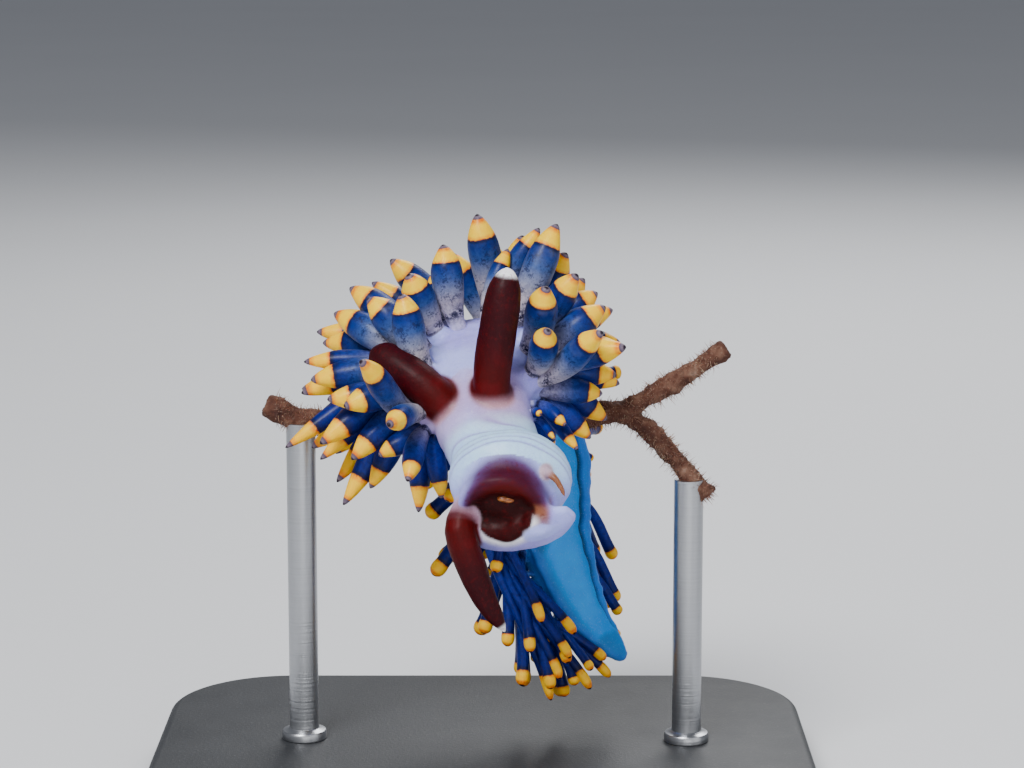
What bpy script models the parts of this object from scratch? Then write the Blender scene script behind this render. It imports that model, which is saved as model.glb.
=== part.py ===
"""A sea slug, Tenellia bughaw, life size: it hangs over a cut length of hydroid stem, which two short rods
hold above a flat base. Its head reaches forward and down with the mouth open, and its tail hangs behind.

Lengths here are in millimetres, from the stem's axis under the slug's arched back: +X to the slug's left,
+Y away from its face, +Z up. Each mesh is turned into metres as it becomes an object, and HANG_POINT then
sets the stem above the middle of the base's underside, which is the origin.
"""
import math
import random
from collections import namedtuple

import bmesh
import bpy
import numpy as np
from mathutils import Matrix, Vector

MM = 0.001
GAP = 0.3
HANG_POINT = (1.2, 0.3, 15.6)

# Body: points along its middle line from snout to tail tip, and its sections on the way.
SPINE_POINTS = (
    (-0.20, -8.3, -1.7),
    (-0.25, -6.7, -1.1),
    (-1.15, -4.4, 0.8),
    (-1.30, -2.0, 2.1),
    (-1.00, 0.5, 2.5),
    (0.00, 2.5, 0.9),
    (1.30, 3.2, -2.1),
    (1.55, 2.6, -5.4),
    (2.50, 1.9, -8.0),
    (3.50, 1.4, -9.4),
    (4.75, 0.9, -10.5),
)
SPINE_STEPS = 24
Section = namedtuple("Section", "at half_width back belly foot roll groove")
SECTIONS = (
    Section(0.0, 1.20, 1.00, 2.05, 1.10, 0, 0.0),
    Section(2.0, 1.75, 1.40, 2.10, 1.50, 0, 0.0),
    Section(4.2, 1.90, 1.40, 1.80, 1.75, 0, 0.0),
    Section(7.5, 2.30, 1.50, 1.70, 1.85, 0, 0.0),
    Section(10.2, 2.20, 1.50, 1.70, 1.80, 2, 0.0),
    Section(13.0, 1.90, 1.45, 1.60, 1.75, 9, 0.1),
    Section(16.5, 1.70, 1.35, 1.50, 1.75, 20, 0.3),
    Section(20.0, 1.50, 1.15, 1.30, 1.65, 24, 0.3),
    Section(23.0, 1.10, 0.80, 0.95, 1.25, 26, 0.2),
    Section(25.0, 0.60, 0.50, 0.60, 0.80, 26, 0.1),
    Section(26.2, 0.22, 0.25, 0.35, 0.30, 26, 0.0),
)
AIM_REACH = 0.3
UNDER_THINNEST = 0.12
UNDER_SQUARE_ACROSS = 0.6
UNDER_SQUARE_DEEP = 0.7
FOOT_THICKNESS = 0.6
FOOT_SHAPE = ((1, 0), (0.86, 0.75), (0.45, 1), (-0.45, 1), (-0.86, 0.75), (-1, 0), (-0.88, -0.8),
              (-0.5, -1), (0.1, -1), (0.46, -1), (0.58, -1), (0.70, -1), (0.90, -0.8))
FURROW_POINT = 10
HEAD_END = 4.8
LENGTH_ENDS = (HEAD_END, 9.7, 13.6, 19.5, 26.0)
LENGTHS = ("trunk_front", "trunk_crest", "trunk_rear", "tail")
RING_STEP = 0.9
TRUNK_SIDES = 18
FOOT_START = 0.3

# Head: a broad hood over a round mouth with rolled lips.
HOOD_CENTRE = (-0.05, -6.8, -1.2)
HOOD_RADII = (2.35, 1.85, 1.95)
HOOD_NOD = 12
HOOD_SEGMENTS = 28
HOOD_RINGS = 18
NECK_START = 2.0
MOUTH_CENTRE = (-0.34, -8.35, -2.0)
MOUTH_FACING = (-0.08, -0.93, -0.36)
MOUTH_HALF_WIDTH = 1.25
MOUTH_HALF_HEIGHT = 0.85
MOUTH_DEEP = 1.0
THROAT_DROP = 0.45
THROAT_NARROW = 0.6
CAVITY_SEGMENTS = 16
CAVITY_RINGS = 10
UPPER_LIP = 0.42
LOWER_LIP = 0.26
UPPER_LIP_TURN = (-8, 188)
LOWER_LIP_TURN = (196, 344)
LIP_STEPS = 12
LIP_SIDES = 10
LIP_OUT = 0.6
LIP_BACK = 0.1
LIP_END = 0.62
LOWER_LIP_NARROW = 0.82
CORNER_LINE = (
    (-2.5, -7.2, -2.9),
    (-1.5, -7.6, -3.2),
    (-0.2, -7.9, -3.3),
    (0.9, -8.1, -2.95),
    (1.7, -8.4, -2.45),
    (2.35, -8.6, -1.95),
)
CORNER_STEPS = 3
CORNER_SIDES = 12
CORNER_FACING = (0.1, -0.80, -0.60)
CORNER_WIDTHS = (0.3, 0.65, 0.75, 0.95, 0.90, 0.45)
CORNER_FLATNESS = 0.36

# Feelers: rhinophores on the neck, oral tentacles at the corners of the mouth.
Feeler = namedtuple("Feeler", "points radii")
RHINOPHORE_LEFT = Feeler(
    ((-0.72, -5.0, 0.8), (-0.78, -5.05, 2.6), (-0.50, -5.05, 4.6), (-0.15, -5.0, 6.8)),
    (0.70, 0.76, 0.70, 0.62, 0.46),
)
RHINOPHORE_RIGHT = Feeler(
    ((-2.0, -4.8, 0.7), (-3.1, -4.6, 1.8), (-4.3, -4.0, 2.6), (-5.5, -3.1, 3.2)),
    (0.62, 0.72, 0.78, 0.76, 0.66),
)
ORAL_TENTACLE_RIGHT = Feeler(
    ((-1.6, -7.3, -1.9), (-2.0, -8.2, -2.8), (-1.6, -8.35, -4.1), (-1.0, -8.3, -5.6), (-0.23, -8.2, -6.9)),
    (0.50, 0.60, 0.60, 0.46, 0.24),
)
ORAL_TENTACLE_LEFT = Feeler(
    ((1.1, -7.5, -0.6), (1.5, -8.5, -0.5), (1.85, -8.95, -0.9), (2.0, -9.05, -1.4)),
    (0.34, 0.32, 0.30, 0.27),
)
FEELERS = {
    "rhinophore_left": RHINOPHORE_LEFT,
    "rhinophore_right": RHINOPHORE_RIGHT,
    "oral_tentacle_left": ORAL_TENTACLE_LEFT,
    "oral_tentacle_right": ORAL_TENTACLE_RIGHT,
}
FEELER_SIDES = 14
FEELER_STOPS = (0, 0.14, 0.28, 0.42, 0.56, 0.70, 0.82, 0.91, 0.97, 1.0)
FEELER_STEPS = 8
FEELER_ROUNDS_FROM = 0.82
FEELER_END = 0.03

# Cerata: rows down each flank, the longest by the back. Side is +1 for the slug's left and -1 for its right.
# A row's lean, towards the tail, goes from its inner ceras to its outer one.
Row = namedtuple("Row", "at side count inner outer long short girth lean_in lean_out")
ROWS = (
    Row(5.3, -1, 5, 84, 134, 3.3, 3.2, 0.60, -0.70, -1.10),
    Row(6.3, -1, 6, 60, 130, 4.2, 3.7, 0.68, 0.20, -1.00),
    Row(7.5, -1, 6, 54, 126, 4.1, 4.9, 0.72, 0.30, -0.60),
    Row(8.7, -1, 6, 44, 124, 4.2, 4.9, 0.70, 0.10, -0.30),
    Row(5.3, 1, 3, 72, 112, 1.7, 2.0, 0.40, 0.00, -0.30),
    Row(6.3, 1, 5, 60, 116, 4.0, 2.1, 0.62, 0.25, -0.30),
    Row(7.5, 1, 6, 50, 112, 4.8, 2.3, 0.68, 0.30, -0.20),
    Row(8.7, 1, 6, 32, 110, 5.7, 2.5, 0.68, 0.25, 0.00),
    Row(10.4, -1, 4, -6, 118, 4.6, 4.9, 0.66, -0.50, -0.20),
    Row(11.9, -1, 4, 4, 116, 5.0, 4.5, 0.62, -1.00, -0.10),
    Row(10.4, 1, 5, 24, 106, 4.5, 2.6, 0.66, -0.60, 0.00),
    Row(11.9, 1, 5, 14, 104, 4.9, 2.6, 0.62, -1.10, 0.10),
    Row(14.5, -1, 4, 35, 118, 4.2, 3.4, 0.48, -0.25, 0.35),
    Row(16.4, -1, 4, 38, 118, 4.0, 3.4, 0.46, 0.30, 0.70),
    Row(18.3, -1, 4, 40, 122, 4.0, 3.6, 0.44, 0.60, 1.40),
    Row(14.5, 1, 3, 30, 78, 4.0, 3.0, 0.48, -0.25, 0.20),
    Row(16.4, 1, 3, 32, 64, 3.6, 2.4, 0.46, 0.10, -0.30),
    Row(18.3, 1, 3, 35, 70, 3.8, 2.8, 0.44, 0.70, 1.30),
    Row(20.3, -1, 4, 45, 124, 3.8, 4.0, 0.40, 0.90, 2.20),
    Row(21.8, -1, 5, 50, 124, 3.6, 3.6, 0.38, 1.40, 3.20),
    Row(23.3, -1, 4, 50, 120, 3.2, 2.6, 0.35, 2.00, 4.00),
    Row(20.3, 1, 3, 35, 70, 3.6, 2.8, 0.40, 0.90, 1.60),
    Row(21.8, 1, 2, 40, 70, 3.2, 2.6, 0.38, 1.20, 1.80),
)
CERAS_SIDES = 7
CERAS_SINK = 0.55
CERAS_PROFILE = ((0.0, 0.66), (0.30, 0.94), (0.62, 1.0), (0.86, 0.66), (1.0, 0.12))
CERAS_DROOP = 0.10
CERAS_BEND = 0.22
OUTER_THINNER = 0.28
VARIATION = 0.12
VARIATION_ALONG = 0.24
VARIATION_AROUND = 2.4
SEED = 7

# Easing cerata apart: how often, at how many points of each, from where on, and the room they are to have.
CLEAR_ROUNDS = 80
CLEAR_SAMPLES = 7
CLEAR_FROM = 0.3
CLEAR_OF_PARTS_FROM = 0.45
CLEAR_STEP = 0.5
FLOOR_ROOM = 0.6
FLOOR_PUSH = 2
WELL_UNDER = 0.2
SAME_NODE_GAP = 0.05
OTHER_NODE_GAP = 0.42

# Perch: a cut length of hydroid stem with its fork.
STEM_RADIUS = 0.5
STEM_RUNS = (
    ((-10.0, 0.5, 0.4), (-8.4, 0.3, -0.25), (-5.0, 0.1, -0.35), (-1.5, 0.0, -0.05), (2.0, 0.0, 0.05),
     (4.9, 0.1, 0.25)),
    ((4.6, 0.1, 0.2), (6.3, 0.25, 1.2), (8.7, 0.5, 2.7)),
    ((4.5, 0.1, 0.2), (6.0, 0.0, -1.0), (7.9, -0.1, -3.3)),
)
STEM_SIDES = 10
STEM_STEPS = 3
STEM_LUMPS = 0.10
LUMP_SPACING = 2.1
FORK_THINNER = 0.82

# Display stand: a flat base with rounded edges and two rods.
BASE_SIZE = (27.0, 21.0, 2.0)
BASE_CORNER = 5.0
BASE_CORNER_STEPS = 8
BASE_EDGE = 0.4
BASE_EDGE_STEPS = 2
ROD_RADIUS = 0.6
ROD_SIDES = 20
ROD_ALONG = (-8.6, 7.2)

WELD = 1e-4
SHARP_ANGLE = 45
TUBE_START = (0.31, 0.17, 0.93)

Material = namedtuple("Material", "colour roughness metallic")
FLESH = Material((0.80, 0.80, 0.92), 0.32, 0.0)
SOLE = Material((0.30, 0.62, 0.88), 0.32, 0.0)
MAROON = Material((0.16, 0.012, 0.012), 0.35, 0.0)
STEM = Material((0.22, 0.10, 0.06), 0.85, 0.0)
STAND = Material((0.06, 0.065, 0.07), 0.45, 0.0)
STEEL = Material((0.55, 0.56, 0.58), 0.30, 1.0)


def clear_scene():
    for obj in list(bpy.data.objects):
        bpy.data.objects.remove(obj)


def smooth_through(points, steps):
    """Points of a Catmull-Rom curve through the given ones."""
    p = np.array(points, float)
    ends = np.vstack([2 * p[0] - p[1], p, 2 * p[-1] - p[-2]])
    t = np.linspace(0, 1, steps, endpoint=False)[:, None]
    runs = []
    for a, b, c, d in zip(ends, ends[1:], ends[2:], ends[3:]):
        runs.append(0.5 * (2 * b + (c - a) * t + (2 * a - 5 * b + 4 * c - d) * t**2
                           + (3 * b - a - 3 * c + d) * t**3))
    return np.vstack(runs + [p[-1:]])


def unit(v):
    return v / np.linalg.norm(v)


SPINE = smooth_through(SPINE_POINTS, SPINE_STEPS)
SPINE_RUN = np.concatenate([[0], np.cumsum(np.linalg.norm(np.diff(SPINE, axis=0), axis=1))])
BODY_LENGTH = SPINE_RUN[-1]


def section_at(at):
    """The body's section at a distance from the snout, between the named ones."""
    stops = [s.at for s in SECTIONS]
    return Section(at, *(np.interp(at, stops, [s[i] for s in SECTIONS]) for i in range(1, 7)))


def spine_at(at):
    return np.array([np.interp(at, SPINE_RUN, SPINE[:, i]) for i in range(3)])


def frame_at(at):
    """Middle, tailward, leftward and backward (out of the back) directions at a distance from the snout."""
    inside = min(max(at, AIM_REACH), BODY_LENGTH - AIM_REACH)
    tailward = unit(spine_at(inside + AIM_REACH) - spine_at(inside - AIM_REACH))
    flat_left = unit(np.array([1.0, 0, 0]) - tailward[0] * tailward)
    flat_back = np.cross(flat_left, tailward)
    roll = math.radians(section_at(at).roll)
    left = flat_left * math.cos(roll) + flat_back * math.sin(roll)
    back = flat_back * math.cos(roll) - flat_left * math.sin(roll)
    middle = spine_at(inside) + tailward * (at - inside)
    return middle, tailward, left, back


def under_depth(section):
    """How far below the middle the trunk's underside lies, above the foot by the gap."""
    return max(section.belly - FOOT_THICKNESS - GAP, UNDER_THINNEST)


def trunk_outline(at, swell=0.0):
    """(leftward, backward) points round the trunk, whose flat underside lies on the foot."""
    s = section_at(at)
    under = under_depth(s) + swell
    points = []
    for k in range(TRUNK_SIDES):
        turn = 2 * math.pi * k / TRUNK_SIDES
        side, up = math.cos(turn), math.sin(turn)
        if up >= 0:
            points.append(((s.half_width + swell) * side, (s.back + swell) * up))
        else:
            wide = math.copysign(abs(side) ** UNDER_SQUARE_ACROSS, side)
            points.append(((s.half_width + swell) * wide, -under * abs(up) ** UNDER_SQUARE_DEEP))
    return points


def foot_outline(at, swell=0.0):
    """(leftward, backward) points round the foot, a rounded slab with a furrow along the tail's sole."""
    s = section_at(at)
    half, thick = s.foot + swell, FOOT_THICKNESS / 2 + swell
    middle = FOOT_THICKNESS / 2 - s.belly
    points = [[half * a, middle + thick * b] for a, b in FOOT_SHAPE]
    points[FURROW_POINT][1] += s.groove
    return points


def ring(at, outline):
    middle, _, left, back = frame_at(at)
    return [middle + left * a + back * b for a, b in outline]


def loft(bm, rings):
    """A closed tube through rings of equal count, with flat ends."""
    loops = [[bm.verts.new(p) for p in points] for points in rings]
    for lower, upper in zip(loops, loops[1:]):
        for k in range(len(lower)):
            after = (k + 1) % len(lower)
            bm.faces.new((lower[k], lower[after], upper[after], upper[k]))
    bm.faces.new(loops[0][::-1])
    bm.faces.new(loops[-1])
    return loops


def stations(start, end):
    count = max(2, round((end - start) / RING_STEP) + 1)
    return np.linspace(start, end, count)


def make_object(name, bm):
    """Ends a bmesh: triangles, outward faces, one object still in millimetres."""
    bmesh.ops.recalc_face_normals(bm, faces=bm.faces)
    bmesh.ops.triangulate(bm, faces=bm.faces)
    mesh = bpy.data.meshes.new(name)
    bm.to_mesh(mesh)
    bm.free()
    obj = bpy.data.objects.new(name, mesh)
    bpy.context.scene.collection.objects.link(obj)
    return obj


def principled(name, finish):
    made = bpy.data.materials.new(name)
    made.use_nodes = True
    shader = made.node_tree.nodes["Principled BSDF"]
    shader.inputs["Base Color"].default_value = (*finish.colour, 1)
    shader.inputs["Roughness"].default_value = finish.roughness
    shader.inputs["Metallic"].default_value = finish.metallic
    return made


def bake_modifiers(obj):
    graph = bpy.context.evaluated_depsgraph_get()
    graph.update()
    mesh = bpy.data.meshes.new_from_object(obj.evaluated_get(graph))
    obj.modifiers.clear()
    old, obj.data = obj.data, mesh
    bpy.data.meshes.remove(old)


def combine(obj, others, operation, solver="EXACT"):
    """Joins the closed pieces to obj, or cuts them from it, in one Boolean, and removes them."""
    if not others:
        return obj
    tools = bpy.data.collections.new(obj.name + "_tools")
    bpy.context.scene.collection.children.link(tools)
    for other in others:
        bpy.context.scene.collection.objects.unlink(other)
        tools.objects.link(other)
    boolean = obj.modifiers.new(operation.lower(), "BOOLEAN")
    boolean.operation = operation
    boolean.operand_type = "COLLECTION"
    boolean.solver = solver
    boolean.collection = tools
    bake_modifiers(obj)
    for other in list(tools.objects):
        bpy.data.objects.remove(other)
    bpy.data.collections.remove(tools)
    return obj


def keep_largest(obj):
    """Drops all but the largest closed surface of the mesh."""
    bm = bmesh.new()
    bm.from_mesh(obj.data)
    bmesh.ops.remove_doubles(bm, verts=bm.verts, dist=WELD)
    left, shells = set(bm.faces), []
    while left:
        shell, edge = set(), [left.pop()]
        while edge:
            face = edge.pop()
            shell.add(face)
            for side in face.edges:
                for near in side.link_faces:
                    if near in left:
                        left.discard(near)
                        edge.append(near)
        shells.append(shell)
    shells.sort(key=lambda shell: -sum(face.calc_area() for face in shell))
    for shell in shells[1:]:
        bmesh.ops.delete(bm, geom=list(shell), context="FACES")
    bmesh.ops.delete(bm, geom=[v for v in bm.verts if not v.link_faces], context="VERTS")
    bm.to_mesh(obj.data)
    bm.free()
    return obj


def tube(name, centres, radii, sides, flatten=None):
    """A closed tapering tube along a line of points. flatten is (direction, share) for an oval section."""
    bm = bmesh.new()
    centres = [np.array(c, float) for c in centres]
    rings, across = [], None
    for k, (centre, radius) in enumerate(zip(centres, radii)):
        along = unit(centres[min(k + 1, len(centres) - 1)] - centres[max(k - 1, 0)])
        across = unit(np.cross(along, TUBE_START) if across is None
                      else across - along * np.dot(across, along))
        other = np.cross(along, across)
        points = []
        for j in range(sides):
            turn = 2 * math.pi * j / sides
            offset = radius * (across * math.cos(turn) + other * math.sin(turn))
            if flatten is not None:
                axis, share = flatten
                axis = np.array(axis)
                offset = offset - axis * np.dot(offset, axis) * (1 - share)
            points.append(centre + offset)
        rings.append(points)
    loft(bm, rings)
    return make_object(name, bm)


def trunk_piece(name, start, end, swell=0.0):
    bm = bmesh.new()
    loft(bm, [ring(at, trunk_outline(at, swell)) for at in stations(start, end)])
    return make_object(name, bm)


def foot_piece(name, start, end, swell=0.0):
    bm = bmesh.new()
    loft(bm, [ring(at, foot_outline(at, swell)) for at in stations(start, end)])
    return make_object(name, bm)


def ellipsoid(name, centre, axes, radii, segments, rings):
    bm = bmesh.new()
    bmesh.ops.create_uvsphere(bm, u_segments=segments, v_segments=rings, radius=1)
    turn = Matrix([list(a) for a in axes]).transposed().to_4x4()
    scale = Matrix.Diagonal((*radii, 1))
    bmesh.ops.transform(bm, matrix=Matrix.Translation(centre) @ turn @ scale, verts=bm.verts)
    return make_object(name, bm)


def hood(swell=0.0):
    nod = math.radians(HOOD_NOD)
    forward = (0, math.cos(nod), math.sin(nod))
    upward = (0, -math.sin(nod), math.cos(nod))
    radii = [r + swell for r in HOOD_RADII]
    return ellipsoid("hood", HOOD_CENTRE, ((1, 0, 0), forward, upward), radii, HOOD_SEGMENTS, HOOD_RINGS)


def mouth_frame():
    """The mouth's middle, and its outward, leftward and upward directions."""
    out = unit(np.array(MOUTH_FACING))
    left = unit(np.array([1.0, 0, 0]) - out[0] * out)
    return np.array(MOUTH_CENTRE), out, left, np.cross(left, out) * -1


def lip(name, turns, radius, swell):
    """A roll of flesh round part of the mouth's rim, between two angles from the slug's left."""
    centre, out, left, up = mouth_frame()
    points, radii = [], []
    for share in np.linspace(0, 1, LIP_STEPS):
        turn = math.radians(turns[0] + (turns[1] - turns[0]) * share)
        wide, tall = MOUTH_HALF_WIDTH + radius * LIP_OUT, MOUTH_HALF_HEIGHT + radius * LIP_OUT
        if math.sin(turn) < 0:
            wide, tall = wide * LOWER_LIP_NARROW, tall + THROAT_DROP
        points.append(centre + left * wide * math.cos(turn) + up * tall * math.sin(turn) - out * LIP_BACK)
        radii.append(radius * (LIP_END + (1 - LIP_END) * math.sin(math.pi * share)) + swell)
    return tube(name, points, radii, LIP_SIDES)


def foot_corners(swell):
    """The front edge of the foot, a flat lobe that curls up at each end below the mouth."""
    centres = smooth_through(CORNER_LINE, CORNER_STEPS)
    shares = np.linspace(0, 1, len(centres))
    radii = np.interp(shares, np.linspace(0, 1, len(CORNER_WIDTHS)), CORNER_WIDTHS) + swell
    flatness = (unit(np.array(CORNER_FACING)), CORNER_FLATNESS)
    return tube("corners", centres, radii, CORNER_SIDES, flatten=flatness)


def head_form(swell=0.0):
    """The hood, lips, neck and the foot below them as one closed form, grown by swell."""
    neck = trunk_piece("neck", NECK_START, HEAD_END - GAP / 2 + swell, swell)
    sole = foot_piece("sole", FOOT_START, HEAD_END - GAP / 2 + swell, GAP + swell)
    upper = lip("upper_lip", UPPER_LIP_TURN, UPPER_LIP, swell)
    lower = lip("lower_lip", LOWER_LIP_TURN, LOWER_LIP, swell)
    return combine(hood(swell), [neck, sole, upper, lower, foot_corners(swell)], "UNION")


def make_head():
    head = head_form()
    head.name = "head"
    centre, out, left, up = mouth_frame()
    wide = (MOUTH_HALF_WIDTH, MOUTH_DEEP, MOUTH_HALF_HEIGHT)
    cavity = ellipsoid("cavity", centre, (left, out, up), wide, CAVITY_SEGMENTS, CAVITY_RINGS)
    narrow = (MOUTH_HALF_WIDTH * THROAT_NARROW, MOUTH_DEEP, MOUTH_HALF_HEIGHT)
    deep = centre - up * THROAT_DROP
    throat = ellipsoid("throat", deep, (left, out, up), narrow, CAVITY_SEGMENTS, CAVITY_RINGS)
    combine(head, [cavity, throat], "DIFFERENCE")
    return keep_largest(head)


def feeler_form(feeler, swell=0.0):
    """A soft feeler with a rounded end."""
    line = smooth_through(feeler.points, FEELER_STEPS)
    run = np.concatenate([[0], np.cumsum(np.linalg.norm(np.diff(line, axis=0), axis=1))])
    centres, radii = [], []
    for stop in FEELER_STOPS:
        centres.append([np.interp(stop * run[-1], run, line[:, i]) for i in range(3)])
        radius = np.interp(stop, np.linspace(0, 1, len(feeler.radii)), feeler.radii)
        past = max(stop - FEELER_ROUNDS_FROM, 0) / (1 - FEELER_ROUNDS_FROM)
        radii.append(radius * math.sqrt(max(1 - past**2, FEELER_END)) + swell)
    return tube("feeler", centres, radii, FEELER_SIDES)


def make_feeler(name, feeler):
    """A feeler cut clear of the head that it grows from."""
    made = feeler_form(feeler)
    made.name = name
    combine(made, [head_form(GAP)], "DIFFERENCE")
    return keep_largest(made)


class Ceras:
    """One ceras: where it roots, which way it points, how long and how thick it is, and its node."""

    def __init__(self, node, root, normal, point_to, length, girth, droop):
        self.node, self.root, self.normal = node, root, normal
        self.point_to, self.length, self.girth, self.droop = unit(point_to), length, girth, droop

    def line(self, shares):
        """Points along its middle, which leaves the skin squarely and bends towards point_to."""
        shares = np.array(shares)[:, None]
        straight = self.root + self.point_to * self.length * shares
        leave = (self.normal - self.point_to) * self.length * CERAS_BEND
        return straight + leave * np.sin(np.pi * shares) * (1 - shares) + self.droop * self.length * shares**2


def node_at(at):
    """The node of the body's length that holds a distance from the snout."""
    return LENGTHS[sum(at > end for end in LENGTH_ENDS[1:-1])]


def root_on_flank(at, side, angle):
    """A point on the trunk's skin and the way out of it, at an angle from the middle of the back."""
    s = section_at(at)
    middle, _, left, back = frame_at(at)
    across, up = math.sin(math.radians(angle)), math.cos(math.radians(angle))
    high = s.back * up if up >= 0 else -under_depth(s) * abs(up) ** UNDER_SQUARE_DEEP
    wide = s.half_width * (across if up >= 0 else across**UNDER_SQUARE_ACROSS)
    outward = left * side * across + back * up
    return middle + left * side * wide + back * high, unit(outward)


def plan_cerata():
    """Every ceras, row by row, before they are eased apart."""
    draw = random.Random(SEED)
    cerata = []
    for row in ROWS:
        for k in range(row.count):
            share = k / max(row.count - 1, 1)
            at = row.at + draw.uniform(-1, 1) * VARIATION_ALONG
            angle = row.inner + (row.outer - row.inner) * share + draw.uniform(-1, 1) * VARIATION_AROUND
            root, normal = root_on_flank(at, row.side, angle)
            _, tailward, _, _ = frame_at(at)
            lean = row.lean_in + (row.lean_out - row.lean_in) * share + draw.uniform(-1, 1) * VARIATION
            length = (row.long + (row.short - row.long) * share) * (1 + draw.uniform(-1, 1) * VARIATION)
            girth = row.girth * (1 - OUTER_THINNER * share)
            droop = np.array([0, 0, -1.0]) * CERAS_DROOP
            aim = normal + tailward * lean
            cerata.append(Ceras(node_at(row.at), root, normal, aim, length, girth, droop))
    return cerata


def obstacle_balls():
    """(centre, radius) balls that stand for the other parts that cerata keep clear of."""
    body_from, body_step, body_sides, body_thick = 0.6, 0.5, (-0.55, 0, 0.55), 0.62
    hood_sides, hood_share = (-0.2, 0, 0.2), 0.95
    feeler_steps, stem_steps, rod_step = 3, 8, 0.6
    balls = []
    for at in np.arange(body_from, BODY_LENGTH, body_step):
        s = section_at(at)
        middle, _, left, back = frame_at(at)
        radius = min(s.back, s.half_width * body_thick)
        for side in body_sides:
            balls.append((middle + left * side * s.half_width - back * WELL_UNDER, radius))
    for side in hood_sides:
        balls.append((np.array(HOOD_CENTRE) + (side * HOOD_RADII[0], 0, 0), HOOD_RADII[2] * hood_share))
    for feeler in FEELERS.values():
        for centre in smooth_through(feeler.points, feeler_steps):
            balls.append((centre, max(feeler.radii)))
    for run in STEM_RUNS:
        for centre in smooth_through(run, stem_steps):
            balls.append((centre, STEM_RADIUS * (1 + STEM_LUMPS * 2)))
    for along in ROD_ALONG:
        for height in np.arange(BASE_SIZE[2] - HANG_POINT[2], 1, rod_step):
            balls.append((np.array([along, 0, height]), ROD_RADIUS))
    return balls


def ease_apart(cerata):
    """Turns cerata about their roots, a little at a time, until they neither cross nor reach a wrong part."""
    shares = np.linspace(CLEAR_FROM, 1, CLEAR_SAMPLES)
    stops, thick = np.array(CERAS_PROFILE).T
    swell = np.interp(shares, stops, thick)
    radius = np.concatenate([c.girth * swell for c in cerata])
    owner = np.repeat(np.arange(len(cerata)), CLEAR_SAMPLES)
    names = np.array([c.node for c in cerata])
    other_node = names[owner][:, None] != names[owner][None, :]
    room = radius[:, None] + radius[None, :] + np.where(other_node, OTHER_NODE_GAP, SAME_NODE_GAP)
    same = owner[:, None] == owner[None, :]
    ball_at, ball_radius = (np.array(v) for v in zip(*obstacle_balls()))
    lever = np.tile(shares, len(cerata))
    floor = BASE_SIZE[2] - HANG_POINT[2] + FLOOR_ROOM
    for _ in range(CLEAR_ROUNDS):
        points = np.vstack([c.line(shares) for c in cerata])
        apart = points[:, None] - points[None]
        distance = np.linalg.norm(apart, axis=2) + 1e-9
        short = np.where(same, 0, np.maximum(room - distance, 0))
        push = (apart / distance[..., None] * short[..., None]).sum(1)
        off = points[:, None] - ball_at[None]
        gone = np.linalg.norm(off, axis=2) + 1e-9
        close = np.maximum(radius[:, None] + ball_radius[None] + OTHER_NODE_GAP - gone, 0)
        late = lever[:, None] > CLEAR_OF_PARTS_FROM
        push += (off / gone[..., None] * (close * late)[..., None]).sum(1)
        push[:, 2] += np.maximum(floor + radius - points[:, 2], 0) * FLOOR_PUSH
        for i, ceras in enumerate(cerata):
            mine = slice(i * CLEAR_SAMPLES, (i + 1) * CLEAR_SAMPLES)
            turn = (push[mine] * shares[:, None]).sum(0) / CLEAR_SAMPLES
            ceras.point_to = unit(ceras.point_to + turn * CLEAR_STEP / ceras.length)
    return cerata


def ceras_piece(ceras):
    """A closed spindle for one ceras, its root sunk in the flank."""
    stops = [stop for stop, _ in CERAS_PROFILE]
    centres = list(ceras.line(stops))
    radii = [ceras.girth * share for _, share in CERAS_PROFILE]
    centres.insert(0, ceras.root - ceras.normal * CERAS_SINK)
    radii.insert(0, radii[0])
    return tube("ceras", centres, radii, CERAS_SIDES)


def span(number):
    """Where one length of the body starts and ends, short of the joint with the next by half the gap."""
    return LENGTH_ENDS[number] + GAP / 2, LENGTH_ENDS[number + 1] - GAP / 2


def neighbours(number):
    """What a length's cerata keep clear of, grown by the gap: feet, lengths next to it, head and stem."""
    grown = stem_forms(GAP)
    for near in (number - 1, number, number + 1):
        if 0 <= near < len(LENGTHS):
            start, end = span(near)
            grown.append(foot_piece("clear", start - GAP, end + GAP, GAP))
            if near != number:
                grown.append(trunk_piece("clear", start - GAP, end + GAP, GAP))
    if number == 0:
        grown += [head_form(GAP)] + [feeler_form(feeler, GAP) for feeler in FEELERS.values()]
    return grown


def make_trunk(name, number, cerata):
    trunk = trunk_piece(name, *span(number))
    combine(trunk, [ceras_piece(c) for c in cerata if c.node == name], "UNION", "MANIFOLD")
    combine(trunk, neighbours(number), "DIFFERENCE", "MANIFOLD")
    return keep_largest(trunk)


def make_perch():
    """The forked stem, cut square at its three ends."""
    runs = []
    for number, run in enumerate(STEM_RUNS):
        centres = smooth_through(run, STEM_STEPS)
        thin = 1 if number == 0 else FORK_THINNER
        lumps = [1 + STEM_LUMPS * math.sin(LUMP_SPACING * k + number) for k in range(len(centres))]
        radii = [STEM_RADIUS * thin * lump for lump in lumps]
        runs.append(tube("run", centres, radii, STEM_SIDES))
    perch = combine(runs[0], runs[1:], "UNION")
    perch.name = "perch_stem"
    return keep_largest(perch)


def stem_forms(swell):
    """The stem's runs as smooth tubes, grown by swell."""
    radius = STEM_RADIUS * (1 + STEM_LUMPS) + swell
    lines = [smooth_through(run, STEM_STEPS) for run in STEM_RUNS]
    return [tube("clear", line, [radius] * len(line), STEM_SIDES) for line in lines]


def stem_height(along):
    """The stem's middle at a distance along X: (y, z)."""
    close_steps = 12
    lines = [smooth_through(run, close_steps) for run in (STEM_RUNS[0], STEM_RUNS[2])]
    points = np.vstack(lines)
    near = points[np.argmin(abs(points[:, 0] - along))]
    return near[1], near[2]


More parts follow.
